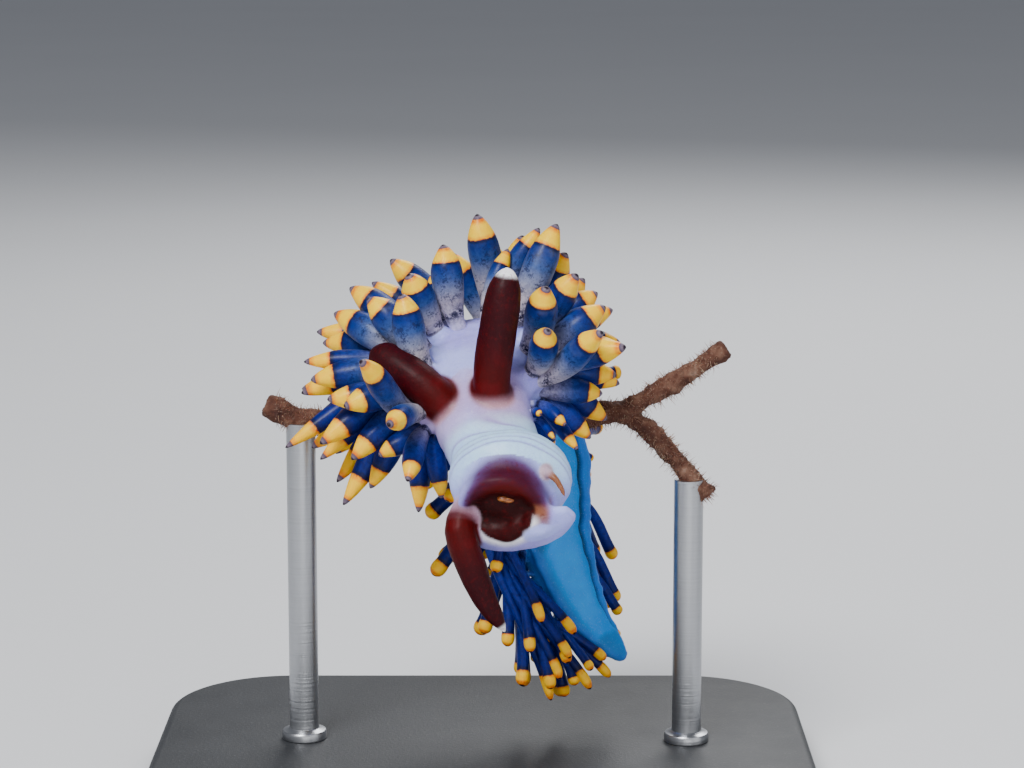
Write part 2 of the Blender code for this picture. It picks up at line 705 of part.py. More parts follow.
def make_base():
    bm = bmesh.new()
    wide, deep, thick = BASE_SIZE
    bmesh.ops.create_cube(bm, size=1)
    bmesh.ops.scale(bm, vec=(wide, deep, thick), verts=bm.verts)
    low = BASE_SIZE[2] / 2 - HANG_POINT[2]
    bmesh.ops.translate(bm, vec=(-HANG_POINT[0], -HANG_POINT[1], low), verts=bm.verts)
    upright = [e for e in bm.edges if abs(e.verts[0].co.z - e.verts[1].co.z) > thick / 2]
    bmesh.ops.bevel(bm, geom=upright, offset=BASE_CORNER, segments=BASE_CORNER_STEPS, profile=0.5,
                      affect="EDGES", material=-1)
    top = [e for e in bm.edges if all(v.co.z > low for v in e.verts)
           and len({f.normal.z > 0.5 for f in e.link_faces}) == 2]
    bmesh.ops.bevel(bm, geom=top, offset=BASE_EDGE, segments=BASE_EDGE_STEPS, profile=0.5,
                      affect="EDGES", material=-1)
    return make_object("stand_base", bm)


def make_rod(name, along):
    y, z = stem_height(along)
    foot = BASE_SIZE[2] - HANG_POINT[2] + GAP
    rod = tube(name, [(along, y, foot), (along, y, z)], [ROD_RADIUS, ROD_RADIUS], ROD_SIDES)
    combine(rod, stem_forms(GAP), "DIFFERENCE")
    return keep_largest(rod)


def finish(obj, material):
    """Metres, the finish, smooth shading and the place over the base."""
    obj.data.transform(Matrix.Scale(MM, 4))
    obj.location = Vector(HANG_POINT) * MM
    obj.data.materials.clear()
    obj.data.materials.append(principled(obj.name + "_finish", material))
    obj.data.shade_smooth()
    obj.data.set_sharp_from_angle(angle=math.radians(SHARP_ANGLE))


def main():
    clear_scene()
    cerata = ease_apart(plan_cerata())
    finish(make_head(), FLESH)
    for name, feeler in FEELERS.items():
        finish(make_feeler(name, feeler), MAROON)
    for number, trunk in enumerate(LENGTHS):
        finish(make_trunk(trunk, number, cerata), FLESH)
        finish(foot_piece("foot_" + trunk.split("_")[-1], *span(number)), SOLE)
    finish(make_perch(), STEM)
    finish(make_base(), STAND)
    for name, along in zip(("stand_rod_left", "stand_rod_right"), ROD_ALONG):
        finish(make_rod(name, along), STEEL)


main()
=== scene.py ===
"""Dresses the frame of a life-size sea slug, Tenellia bughaw, which hangs over a cut length of hydroid stem
above a small display base. Shapes are worked out in millimetres from the stem's axis under the slug's arched
back, +X to the slug's left, +Y away from its face and +Z up, and are moved to the row frame as they end."""
import math
import random
from collections import namedtuple

import bmesh
import bpy
import numpy as np
from mathutils import Matrix, Vector, noise


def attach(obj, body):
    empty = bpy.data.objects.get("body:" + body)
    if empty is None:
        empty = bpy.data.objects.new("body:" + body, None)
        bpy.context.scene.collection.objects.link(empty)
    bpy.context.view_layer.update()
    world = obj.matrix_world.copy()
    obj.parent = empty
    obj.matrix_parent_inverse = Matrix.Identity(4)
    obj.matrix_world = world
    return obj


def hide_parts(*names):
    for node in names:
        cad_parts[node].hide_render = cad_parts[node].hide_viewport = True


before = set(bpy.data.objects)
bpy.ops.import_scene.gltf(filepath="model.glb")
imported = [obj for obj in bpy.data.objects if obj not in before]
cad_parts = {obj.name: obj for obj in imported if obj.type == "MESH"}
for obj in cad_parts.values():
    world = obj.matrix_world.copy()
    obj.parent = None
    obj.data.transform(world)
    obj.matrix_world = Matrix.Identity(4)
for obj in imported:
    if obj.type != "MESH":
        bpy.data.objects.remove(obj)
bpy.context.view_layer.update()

# Camera, floor and light. The camera looks at the slug's face from a little above, as the photograph does.
# The floor is a plain pale sheet that runs far back, and the light is four soft panels and a pale room.
MM = 0.001
HANG_POINT = (1.2, 0.3, 15.6)
AIM = (1.2, -1.2, 17.2)
LOOK_DOWN = math.radians(10)
DISTANCE = 120.0
PHOTO_WIDTH = 40.96
SENSOR_WIDTH = 36
FLOOR_REACH = 3.0
ROOM_COLOUR = (0.86, 0.90, 1.0, 1)


def add_object(name, data):
    obj = bpy.data.objects.new(name, data)
    bpy.context.scene.collection.objects.link(obj)
    return obj


def look_at(obj, place, target):
    """Puts obj at place and turns it to target, both in millimetres of the row frame."""
    obj.location = Vector(place) * MM
    obj.rotation_euler = (Vector(target) - Vector(place)).to_track_quat("-Z", "Y").to_euler()


camera = add_object("camera", bpy.data.cameras.new("camera"))
back_off = Vector((0, -math.cos(LOOK_DOWN), math.sin(LOOK_DOWN))) * DISTANCE
look_at(camera, Vector(AIM) + back_off, AIM)
camera.data.sensor_width = SENSOR_WIDTH
camera.data.lens = SENSOR_WIDTH * DISTANCE / PHOTO_WIDTH
camera.data.clip_start = 0.001
camera.data.clip_end = 20
bpy.context.scene.camera = camera

for name, place, size, watts in (
    ("key_light", (-70, -140, 180), 85, 0.70),
    ("fill_light", (160, -120, 70), 150, 0.09),
    ("rim_light", (50, 150, 150), 120, 0.34),
    ("low_light", (20, -130, 4), 90, 0.05),
):
    lamp = add_object(name, bpy.data.lights.new(name, "AREA"))
    lamp.data.size = size * MM
    lamp.data.energy = watts
    look_at(lamp, place, AIM)

world = bpy.data.worlds.new("pale_room")
world.use_nodes = True
world.node_tree.nodes["Background"].inputs["Color"].default_value = ROOM_COLOUR
world.node_tree.nodes["Background"].inputs["Strength"].default_value = 0.23
bpy.context.scene.world = world


class Sock:
    """A shader socket that Python's own operators work on."""

    def __init__(self, tree, socket):
        self.tree, self.socket = tree, socket

    def math(self, operation, *others):
        made = node(self.tree, "ShaderNodeMath", {"operation": operation}, dict(enumerate((self, *others))))
        return Sock(self.tree, made.outputs[0])

    def __add__(self, other):
        return self.math("ADD", other)

    def __sub__(self, other):
        return self.math("SUBTRACT", other)

    def __rsub__(self, other):
        return (self * -1) + other

    def __mul__(self, other):
        return self.math("MULTIPLY", other)

    __radd__ = __add__
    __rmul__ = __mul__

    def between(self, low, high):
        """0 at low and below, 1 at high and above, soft between."""
        return Sock(self.tree, node(self.tree, "ShaderNodeMapRange", {"interpolation_type": "SMOOTHSTEP"},
                                    {"Value": self, "From Min": low, "From Max": high}).outputs["Result"])

    def bump_at(self, middle, width):
        """1 at middle, falling softly to 0 at width either way."""
        return 1 - (self - middle).math("ABSOLUTE").between(0, width)


def plug(tree, slot, value):
    if isinstance(value, Sock):
        tree.links.new(value.socket, slot)
    elif isinstance(value, (tuple, list)) and len(value) == 3 and slot.type == "RGBA":
        slot.default_value = (*value, 1)
    else:
        slot.default_value = value


def node(tree, kind, settings, values):
    """One node of a kind: its settings come first, then the numbers or links of its sockets."""
    made = tree.nodes.new(kind)
    stops = settings.pop("stops", None)
    for key, value in settings.items():
        setattr(made, key, value)
    if stops:
        ramp = made.color_ramp
        while len(ramp.elements) > 1:
            ramp.elements.remove(ramp.elements[-1])
        for number, (at, colour) in enumerate(stops):
            element = ramp.elements[0] if number == 0 else ramp.elements.new(at)
            element.position = at
            element.color = (*colour, 1)
    for key, value in values.items():
        plug(tree, made.inputs[key], value)
    return made


class Finish:
    """A material with one Principled shader, and short names for the nodes that its pattern needs."""

    def __init__(self, name, **constants):
        self.material = bpy.data.materials.new(name)
        self.material.use_nodes = True
        self.tree = self.material.node_tree
        self.shader = self.tree.nodes["Principled BSDF"]
        self.set(**constants)
        self.place = Sock(self.tree, node(self.tree, "ShaderNodeTexCoord", {}, {}).outputs["Object"])

    def set(self, **values):
        for key, value in values.items():
            plug(self.tree, self.shader.inputs[key.replace("_", " ")], value)

    def attribute(self, name, output="Fac"):
        made = node(self.tree, "ShaderNodeAttribute", {"attribute_name": name}, {})
        return Sock(self.tree, made.outputs[output])

    def noise(self, per_mm, detail=3, rough=0.55, stretch=None):
        """Noise of so many lumps to a millimetre."""
        where = self.place
        if stretch:
            where = Sock(self.tree, node(self.tree, "ShaderNodeVectorMath", {"operation": "MULTIPLY"},
                                         {0: where, 1: stretch}).outputs[0])
        made = node(self.tree, "ShaderNodeTexNoise", {},
                    {"Vector": where, "Scale": per_mm / MM, "Detail": detail, "Roughness": rough})
        return Sock(self.tree, made.outputs["Fac"])

    def cells(self, per_mm):
        made = node(self.tree, "ShaderNodeTexVoronoi", {}, {"Vector": self.place, "Scale": per_mm / MM})
        return Sock(self.tree, made.outputs["Distance"])

    def ramp(self, factor, stops):
        made = node(self.tree, "ShaderNodeValToRGB", {"stops": stops}, {"Fac": factor})
        return Sock(self.tree, made.outputs["Color"])

    def mix(self, factor, first, second, blend="MIX"):
        made = node(self.tree, "ShaderNodeMix", {"data_type": "RGBA", "blend_type": blend}, {0: factor})
        plug(self.tree, made.inputs[6], first)
        plug(self.tree, made.inputs[7], second)
        return Sock(self.tree, made.outputs[2])

    def coats(self, base, *coats):
        """Lays coats over a base colour one by one: each is a share, a colour and, for some, a blend."""
        for share, *colour in coats:
            base = self.mix(share, base, *colour)
        return base

    def bump(self, height, millimetres):
        made = node(self.tree, "ShaderNodeBump", {}, {"Height": height, "Distance": millimetres * MM,
                                                      "Strength": 1.0})
        self.set(Normal=Sock(self.tree, made.outputs["Normal"]))


floor_finish = Finish("pale_floor", Roughness=0.6)
floor_grain = floor_finish.noise(0.02, detail=4)
floor_finish.set(Base_Color=floor_finish.mix(floor_grain, (0.66, 0.67, 0.69), (0.70, 0.71, 0.73)))
floor_mesh = bmesh.new()
bmesh.ops.create_grid(floor_mesh, x_segments=2, y_segments=2, size=FLOOR_REACH)
floor_data = bpy.data.meshes.new("floor")
floor_mesh.to_mesh(floor_data)
floor_mesh.free()
floor_data.materials.append(floor_finish.material)
add_object("floor", floor_data)


# Slug's skin, formed: one soft, wet skin over head, back, feelers and foot, as the animal has, with no seam.
# Closed forms for the body's parts are fused on a grid, hollowed for the mouth and evened out.
SPINE_POINTS = (
    (-0.20, -8.3, -1.7), (-0.25, -6.7, -1.1), (-1.15, -4.4, 0.8), (-1.30, -2.0, 2.1), (-1.00, 0.5, 2.5),
    (0.00, 2.5, 0.9), (1.30, 3.2, -2.1), (1.55, 2.6, -5.4), (2.50, 1.9, -8.0), (3.50, 1.4, -9.4),
    (4.75, 0.9, -10.5),
)
SPINE_STEPS = 24
Section = namedtuple("Section", "at half_width back belly foot roll")
SECTIONS = (
    Section(0.0, 1.20, 1.00, 2.05, 1.10, 0),
    Section(2.0, 1.75, 1.40, 2.10, 1.50, 0),
    Section(4.2, 1.90, 1.40, 1.80, 1.75, 0),
    Section(7.5, 2.30, 1.50, 1.70, 1.85, 0),
    Section(10.2, 2.20, 1.50, 1.70, 1.80, 2),
    Section(13.0, 1.90, 1.45, 1.60, 1.75, 9),
    Section(16.5, 1.70, 1.35, 1.50, 1.75, 20),
    Section(20.0, 1.50, 1.15, 1.30, 1.65, 24),
    Section(23.0, 1.10, 0.80, 0.95, 1.25, 26),
    Section(25.0, 0.60, 0.50, 0.60, 0.80, 26),
    Section(26.2, 0.22, 0.25, 0.35, 0.30, 26),
)
AIM_REACH = 0.3
FOOT_THICKNESS = 0.6
COARSE_VOXEL = 0.12
FINE_VOXEL = 0.08
Feeler = namedtuple("Feeler", "points radii")
FEELERS = {
    "rhinophore_left": Feeler(
        ((-0.72, -5.0, 0.8), (-0.78, -5.05, 2.6), (-0.50, -5.05, 4.6), (-0.15, -5.0, 6.8)),
        (0.68, 0.74, 0.76, 0.74, 0.56)),
    "rhinophore_right": Feeler(
        ((-2.0, -4.8, 0.7), (-3.1, -4.6, 1.8), (-4.3, -4.0, 2.6), (-5.5, -3.1, 3.2)),
        (0.62, 0.72, 0.78, 0.76, 0.66)),
    "oral_tentacle_right": Feeler(
        ((-1.6, -7.3, -1.9), (-2.0, -8.2, -2.8), (-1.6, -8.35, -4.1), (-1.0, -8.3, -5.6),
         (-0.23, -8.2, -6.9)),
        (0.50, 0.60, 0.60, 0.46, 0.24)),
    "oral_tentacle_left": Feeler(
        ((1.0, -7.5, -0.7), (1.42, -8.45, -0.62), (1.78, -8.80, -0.95), (2.02, -8.95, -1.45)),
        (0.30, 0.22, 0.15, 0.11)),
}
EVENING = 0.6
FEELER_STOPS = np.concatenate([np.linspace(0, 0.8, 14), np.linspace(0.84, 1.0, 10)])
FEELER_ROUNDS_FROM = 0.82
HOOD_CENTRE = (-0.05, -6.8, -1.2)
HOOD_RADII = (2.35, 1.85, 1.95)
HOOD_NOD = math.radians(12)
MOUTH_CENTRE = (-0.34, -8.35, -2.0)
MOUTH_FACING = (-0.08, -0.93, -0.36)
MOUTH_HALF_WIDTH = 1.25
MOUTH_HALF_HEIGHT = 0.85
MOUTH_DEEP = 1.0
THROAT_DROP = 0.45
THROAT_NARROW = 0.6
LOW_LIP_NARROW = 0.82
LIP_ENDS = 0.62
CORNER_LINE = ((-2.5, -7.2, -2.9), (-1.5, -7.6, -3.2), (-0.2, -7.9, -3.3), (0.9, -8.1, -2.95),
               (1.7, -8.4, -2.45), (2.35, -8.6, -1.95))
CORNER_FACING = (0.1, -0.80, -0.60)
CORNER_WIDTHS = (0.3, 0.65, 0.75, 0.95, 0.90, 0.45)
CORNER_FLATNESS = 0.36


def through(points, steps):
    """Points of a smooth curve through the given ones."""
    p = np.array(points, float)
    ends = np.vstack([2 * p[0] - p[1], p, 2 * p[-1] - p[-2]])
    t = np.linspace(0, 1, steps, endpoint=False)[:, None]
    runs = []
    for a, b, c, d in zip(ends, ends[1:], ends[2:], ends[3:]):
        runs.append(0.5 * (2 * b + (c - a) * t + (2 * a - 5 * b + 4 * c - d) * t**2
                           + (3 * b - a - 3 * c + d) * t**3))
    return np.vstack(runs + [p[-1:]])


def spaced(values, shares):
    """Values that are spaced evenly along a line, read at shares of it."""
    return np.interp(shares, np.linspace(0, 1, len(values)), values)


def unit(v):
    return np.array(v, float) / np.linalg.norm(v)


def run_of(line):
    return np.concatenate([[0], np.cumsum(np.linalg.norm(np.diff(line, axis=0), axis=1))])


SPINE = through(SPINE_POINTS, SPINE_STEPS)
SPINE_RUN = run_of(SPINE)
BODY_LENGTH = SPINE_RUN[-1]


def section_at(at):
    stops = [s.at for s in SECTIONS]
    return Section(at, *(np.interp(at, stops, [s[i] for s in SECTIONS]) for i in range(1, 6)))


def frame_at(at):
    """Middle, tailward, leftward and backward directions at a distance from the snout."""
    def spine_at(where):
        return np.array([np.interp(where, SPINE_RUN, SPINE[:, i]) for i in range(3)])
    inside = min(max(at, AIM_REACH), BODY_LENGTH - AIM_REACH)
    tailward = unit(spine_at(inside + AIM_REACH) - spine_at(inside - AIM_REACH))
    flat_left = unit(np.array([1.0, 0, 0]) - tailward[0] * tailward)
    flat_back = np.cross(flat_left, tailward)
    roll = math.radians(section_at(at).roll)
    left = flat_left * math.cos(roll) + flat_back * math.sin(roll)
    back = flat_back * math.cos(roll) - flat_left * math.sin(roll)
    return spine_at(inside) + tailward * (at - inside), tailward, left, back


def swept(rings, sides, where, marks=()):
    """A closed skin spun round rings, each vertex put at where(ring, turn) and the ends drawn to poles.
    marks names float attributes and gives mark(ring, turn) for each."""
    bm = bmesh.new()
    layers = [(bm.verts.layers.float.new(name), mark) for name, mark in marks]
    column = [bm.verts.new((1, 0, ring)) for ring in range(rings)]
    line = [bm.verts.new((0, 0, 0)), *column, bm.verts.new((0, 0, rings - 1))]
    edges = [bm.edges.new(pair) for pair in zip(line, line[1:])]
    bmesh.ops.spin(bm, geom=line + edges, cent=(0, 0, 0), axis=(0, 0, 1), angle=2 * math.pi, steps=sides,
                   use_merge=True)
    bmesh.ops.remove_doubles(bm, verts=bm.verts, dist=1e-4)
    poles = []
    ends = {0: [], rings - 1: []}
    for v in bm.verts:
        ring, turn = round(v.co.z), math.atan2(v.co.y, v.co.x)
        for layer, mark in layers:
            v[layer] = mark(ring, turn)
        if v.co.x**2 + v.co.y**2 < 0.1:
            poles.append((v, ring))
            continue
        v.co = where(ring, turn)
        if ring in ends:
            ends[ring].append(v.co.copy())
    for v, ring in poles:
        v.co = sum(ends[ring], Vector()) / len(ends[ring])
    bmesh.ops.recalc_face_normals(bm, faces=bm.faces)
    return bm


def tube(centres, radii, sides, flatten=None, marks=(), swell=None):
    """A closed tapering tube along points. flatten is (direction, share) for an oval section, and
    swell(point) a share by which its wall stands out."""
    centres = np.array(centres, float)
    along = np.gradient(centres, axis=0)
    across = [unit(np.cross(along[0], (0.31, 0.17, 0.93)))]
    for step in along[1:]:
        step = unit(step)
        across.append(unit(across[-1] - step * np.dot(across[-1], step)))
    others = [np.cross(unit(step), side) for step, side in zip(along, across)]

    def where(ring, turn):
        offset = radii[ring] * (across[ring] * math.cos(turn) + others[ring] * math.sin(turn))
        if flatten is not None:
            offset = offset - flatten[0] * np.dot(offset, flatten[0]) * (1 - flatten[1])
        if swell is not None:
            offset = offset * (1 + swell(centres[ring] + offset))
        return centres[ring] + offset
    return swept(len(centres), sides, where, marks)


def to_mesh_object(name, bm):
    data = bpy.data.meshes.new(name)
    bm.to_mesh(data)
    bm.free()
    return add_object(name, data)


def joined(name, forms):
    """One object of several bmeshes, still separate closed surfaces."""
    whole = bmesh.new()
    for form in forms:
        data = bpy.data.meshes.new("part")
        form.to_mesh(data)
        form.free()
        whole.from_mesh(data)
        bpy.data.meshes.remove(data)
    return to_mesh_object(name, whole)


def bake_modifiers(obj):
    graph = bpy.context.evaluated_depsgraph_get()
    graph.update()
    baked = bpy.data.meshes.new_from_object(obj.evaluated_get(graph))
    obj.modifiers.clear()
    old, obj.data = obj.data, baked
    bpy.data.meshes.remove(old)


def fuse(obj, voxel):
    """Fuses the object's closed surfaces into one on a grid."""
    remesh = obj.modifiers.new("fuse", "REMESH")
    remesh.mode = "VOXEL"
    remesh.voxel_size = voxel
    bake_modifiers(obj)


def cut(obj, form):
    tool = to_mesh_object("cut", form)
    boolean = obj.modifiers.new("cut", "BOOLEAN")
    boolean.operation = "DIFFERENCE"
    boolean.object = tool
    bake_modifiers(obj)
    bpy.data.objects.remove(tool)


def relaxed(points, edges, weight, times):
    """Evens points out over their neighbours; weight, 0 to 1, says how far each one gives way."""
    a, b = edges.T
    count = np.bincount(edges.ravel(), minlength=len(points))[:, None]
    weight = np.broadcast_to(np.asarray(weight, float).reshape(-1, 1), (len(points), 1))
    for _ in range(times):
        total = np.stack([np.bincount(a, axis[b], len(axis)) + np.bincount(b, axis[a], len(axis))
                          for axis in points.T], axis=1)
        points = points + (total / count - points) * weight * EVENING
    return points


def read_mesh(obj):
    points = np.empty(len(obj.data.vertices) * 3)
    obj.data.vertices.foreach_get("co", points)
    edges = np.empty(len(obj.data.edges) * 2, int)
    obj.data.edges.foreach_get("vertices", edges)
    return points.reshape(-1, 3), edges.reshape(-1, 2)


def write_points(obj, points):
    obj.data.vertices.foreach_set("co", np.asarray(points, float).ravel())
    obj.data.update()


def read_normals(obj):
    normals = np.empty(len(obj.data.vertices) * 3)
    obj.data.vertices.foreach_get("normal", normals)
    return normals.reshape(-1, 3)


def near_line(points, line):
    """Each point's distance from a line of points, and the share of the line that it lies beside."""
    line = np.array(line, float)
    run = run_of(line)
    best = np.full(len(points), 1e9)
    share = np.zeros(len(points))
    for k, (a, b) in enumerate(zip(line, line[1:])):
        span = b - a
        t = np.clip((points - a) @ span / (span @ span), 0, 1)
        gone = np.linalg.norm(points - (a + t[:, None] * span), axis=1)
        nearer = gone < best
        best[nearer] = gone[nearer]
        share[nearer] = ((run[k] + t * (run[k + 1] - run[k])) / run[-1])[nearer]
    return best, share


def soft(value, low, high):
    """0 at low, 1 at high, soft between; low may be the greater."""
    t = np.clip((value - low) / (high - low), 0, 1)
    return t * t * (3 - 2 * t)


def lumps(points, per_mm, seed):
    """Smooth noise from -1 to 1 over points."""
    shift = Vector((seed * 7.3, seed * 3.1, seed * 5.7))
    return np.array([noise.noise(Vector(p) * per_mm + shift) for p in points])


def blob(centre, axes, radii, segments=40):
    bm = bmesh.new()
    bmesh.ops.create_uvsphere(bm, u_segments=segments, v_segments=segments * 2 // 3, radius=1)
    turn = Matrix([list(a) for a in axes]).transposed().to_4x4()
    grow = Matrix.Diagonal((*radii, 1))
    bmesh.ops.transform(bm, matrix=Matrix.Translation(centre) @ turn @ grow, verts=bm.verts)
    return bm


def trunk_form():
    stops = np.arange(2.0, BODY_LENGTH + 0.05, 0.25)

    def where(ring, turn):
        s = section_at(stops[ring])
        middle, _, left, back = frame_at(stops[ring])
        side, up = math.cos(turn), math.sin(turn)
        if up >= 0:
            return middle + left * s.half_width * side + back * s.back * up
        wide = math.copysign(abs(side) ** 0.7, side) * (1 - 0.10 * abs(up))
        return middle + left * s.half_width * wide - back * (s.belly - 0.1) * abs(up) ** 0.75
    return swept(len(stops), 48, where)


def foot_form():
    """The foot, a slab with thin, faintly frilled edges that flare past the flanks."""
    stops = np.arange(0.3, BODY_LENGTH + 0.02, 0.2)

    def where(ring, turn):
        s = section_at(stops[ring])
        middle, _, left, back = frame_at(stops[ring])
        side, up = math.cos(turn), math.sin(turn)
        wide = s.foot * math.copysign(abs(side) ** 0.75, side)
        tall = FOOT_THICKNESS / 2 * up * (1 - 0.45 * abs(side) ** 3)
        frill = 0.06 * math.sin(stops[ring] * 3.1 + (2 if side > 0 else 0)) * abs(side) ** 3
        return middle + left * wide + back * (FOOT_THICKNESS / 2 - s.belly + tall + frill)
    return swept(len(stops), 40, where)


def feeler_line(feeler):
    line = through(feeler.points, 16)
    run = run_of(line)
    return np.stack([np.interp(FEELER_STOPS * run[-1], run, axis) for axis in line.T], axis=1)


def feeler_form(feeler):
    radii = spaced(feeler.radii, FEELER_STOPS)
    past = np.clip(FEELER_STOPS - FEELER_ROUNDS_FROM, 0, None) / (1 - FEELER_ROUNDS_FROM)
    return tube(feeler_line(feeler), radii * np.sqrt(np.clip(1 - past**2, 0.02, 1)), 28)


mouth_out = unit(MOUTH_FACING)
mouth_left = unit(np.array([1.0, 0, 0]) - mouth_out[0] * mouth_out)
mouth_up = -np.cross(mouth_left, mouth_out)
mouth_axes = (mouth_left, mouth_out, mouth_up)


def lip_form(first, last, radius, low):
    centres, radii = [], []
    for share in np.linspace(0, 1, 25):
        turn = math.radians(first + (last - first) * share)
        wide = (MOUTH_HALF_WIDTH + radius * 0.6) * (LOW_LIP_NARROW if low else 1)
        tall = MOUTH_HALF_HEIGHT + radius * 0.6 + (THROAT_DROP if low else 0)
        centres.append(np.array(MOUTH_CENTRE) + mouth_left * wide * math.cos(turn)
                       + mouth_up * tall * math.sin(turn) - mouth_out * 0.1)
        radii.append(radius * (LIP_ENDS + (1 - LIP_ENDS) * math.sin(math.pi * share)))
    return tube(centres, radii, 20)


nod_forward = (0, math.cos(HOOD_NOD), math.sin(HOOD_NOD))
nod_up = (0, -math.sin(HOOD_NOD), math.cos(HOOD_NOD))
corner_line = through(CORNER_LINE, 6)
corner_radii = spaced(CORNER_WIDTHS, np.linspace(0, 1, len(corner_line)))
skin = joined("slug_skin", [
    blob(HOOD_CENTRE, ((1, 0, 0), nod_forward, nod_up), HOOD_RADII, 60),
    lip_form(-8, 188, 0.42, False),
    lip_form(196, 344, 0.26, True),
    tube(corner_line, corner_radii, 32, (unit(CORNER_FACING), CORNER_FLATNESS)),
    blob(np.array(MOUTH_CENTRE) + mouth_left * 1.55 - mouth_up * 0.55 - mouth_out * 0.35, mouth_axes,
         (0.75, 0.65, 0.55)),
    foot_form(),
    trunk_form(),
])
fuse(skin, COARSE_VOXEL)
cut(skin, blob(MOUTH_CENTRE, mouth_axes, (MOUTH_HALF_WIDTH, MOUTH_DEEP, MOUTH_HALF_HEIGHT)))
cut(skin, blob(np.array(MOUTH_CENTRE) - mouth_up * THROAT_DROP, mouth_axes,
               (MOUTH_HALF_WIDTH * THROAT_NARROW, MOUTH_DEEP, MOUTH_HALF_HEIGHT)))
skin_points, skin_edges = read_mesh(skin)
from_mouth = np.linalg.norm(skin_points - MOUTH_CENTRE, axis=1)
skin_points = relaxed(skin_points, skin_edges, 0.25 + 0.75 * soft(from_mouth, 1.5, 3.5), 14)
write_points(skin, skin_points)


# Cerata, planned: the soft clubs that the animal breathes with, in rows along both flanks. Where each one
# stands and points is settled first, because the skin is raised at its root before it's fused.
Row = namedtuple("Row", "at side count inner outer long short girth lean_in lean_out")
ROWS = (
    Row(5.3, -1, 5, 84, 134, 3.3, 3.2, 0.60, -0.70, -1.10),
    Row(6.3, -1, 6, 60, 130, 4.2, 3.7, 0.68, 0.20, -1.00),
    Row(7.5, -1, 6, 54, 126, 4.1, 4.9, 0.72, 0.30, -0.60),
    Row(8.7, -1, 6, 44, 124, 4.2, 4.9, 0.70, 0.10, -0.30),
    Row(5.3, 1, 3, 72, 112, 1.7, 2.0, 0.40, 0.00, -0.30),
    Row(6.3, 1, 5, 60, 116, 4.0, 2.1, 0.62, 0.25, -0.30),
    Row(7.5, 1, 6, 50, 112, 4.8, 2.3, 0.68, 0.30, -0.20),
    Row(8.7, 1, 6, 32, 110, 5.7, 2.5, 0.68, 0.25, 0.00),
    Row(10.4, -1, 4, -6, 118, 4.6, 4.9, 0.66, -0.50, -0.20),
    Row(11.9, -1, 4, 4, 116, 5.0, 4.5, 0.62, -1.00, -0.10),
    Row(10.4, 1, 5, 24, 106, 4.5, 2.6, 0.66, -0.60, 0.00),
    Row(11.9, 1, 5, 14, 104, 4.9, 2.6, 0.62, -1.10, 0.10),
    Row(14.5, -1, 4, 35, 118, 4.2, 3.4, 0.48, -0.25, 0.35),
    Row(16.4, -1, 4, 38, 118, 4.0, 3.4, 0.46, 0.30, 0.70),
    Row(18.3, -1, 4, 40, 122, 4.0, 3.6, 0.44, 0.60, 1.40),
    Row(14.5, 1, 3, 30, 78, 4.0, 3.0, 0.48, -0.25, 0.20),
    Row(16.4, 1, 3, 32, 64, 3.6, 2.4, 0.46, 0.10, -0.30),
    Row(18.3, 1, 3, 35, 70, 3.8, 2.8, 0.44, 0.70, 1.30),
    Row(20.3, -1, 4, 45, 124, 3.8, 4.0, 0.40, 0.90, 2.20),
    Row(21.8, -1, 5, 50, 124, 3.6, 3.6, 0.38, 1.40, 3.20),
    Row(23.3, -1, 4, 50, 120, 3.2, 2.6, 0.35, 2.00, 4.00),
    Row(20.3, 1, 3, 35, 70, 3.6, 2.8, 0.40, 0.90, 1.60),
    Row(21.8, 1, 2, 40, 70, 3.2, 2.6, 0.38, 1.20, 1.80),
)
LENGTH_ENDS = (9.7, 13.6, 19.5)
LENGTHS = ("front", "crest", "rear", "tail")
CAD_PROFILE = ((0.0, 0.66), (0.30, 0.94), (0.62, 1.0), (0.86, 0.66), (1.0, 0.12))
DROOP = np.array([0, 0, -0.10])
GENTLE_BEND = 0.22
CURLED_BEND = 0.50
FOOT_GAP = 0.3
UNDER_THINNEST = 0.12
CLEAR_SAMPLES = 7
CLEAR_OF_SAME_LENGTH = 0.05
CLEAR_OF_OTHERS = 0.42
LOWEST = -13.0
EASING_ROUNDS = 80
SMALLEST_KEPT = 0.41


class Ceras:
    """One ceras: its length of the body, root, direction, length, girth and how high it sits."""

    def __init__(self, node, side, root, normal, point_to, length, girth, outer):
        self.node, self.side, self.root, self.normal, self.outer = node, side, root, normal, outer
        self.point_to, self.length, self.girth = unit(point_to), length, girth
        self.bend = GENTLE_BEND

    def line(self, shares):
        shares = np.array(shares, float)[:, None]
        straight = self.root + self.point_to * self.length * shares
        leave = (self.normal - self.point_to) * self.length * self.bend
        return straight + leave * np.sin(np.pi * shares) * (1 - shares) + DROOP * self.length * shares**2

    def aim(self, tip):
        """Turns and stretches it until it ends at tip."""
        reach = np.array(tip) - self.root
        self.length = float(np.linalg.norm(reach))
        self.point_to = unit(reach - DROOP * self.length)


def length_of(at):
    """The length of the body that a place along it belongs to."""
    return LENGTHS[sum(at > end for end in LENGTH_ENDS)]


def root_on_flank(at, side, angle):
    s = section_at(at)
    middle, _, left, back = frame_at(at)
    across, up = math.sin(math.radians(angle)), math.cos(math.radians(angle))
    under = max(s.belly - FOOT_THICKNESS - FOOT_GAP, UNDER_THINNEST)
    high = s.back * up if up >= 0 else -under * abs(up) ** 0.7
    wide = s.half_width * (across if up >= 0 else across**0.6)
    return middle + left * side * wide + back * high, unit(left * side * across + back * up)


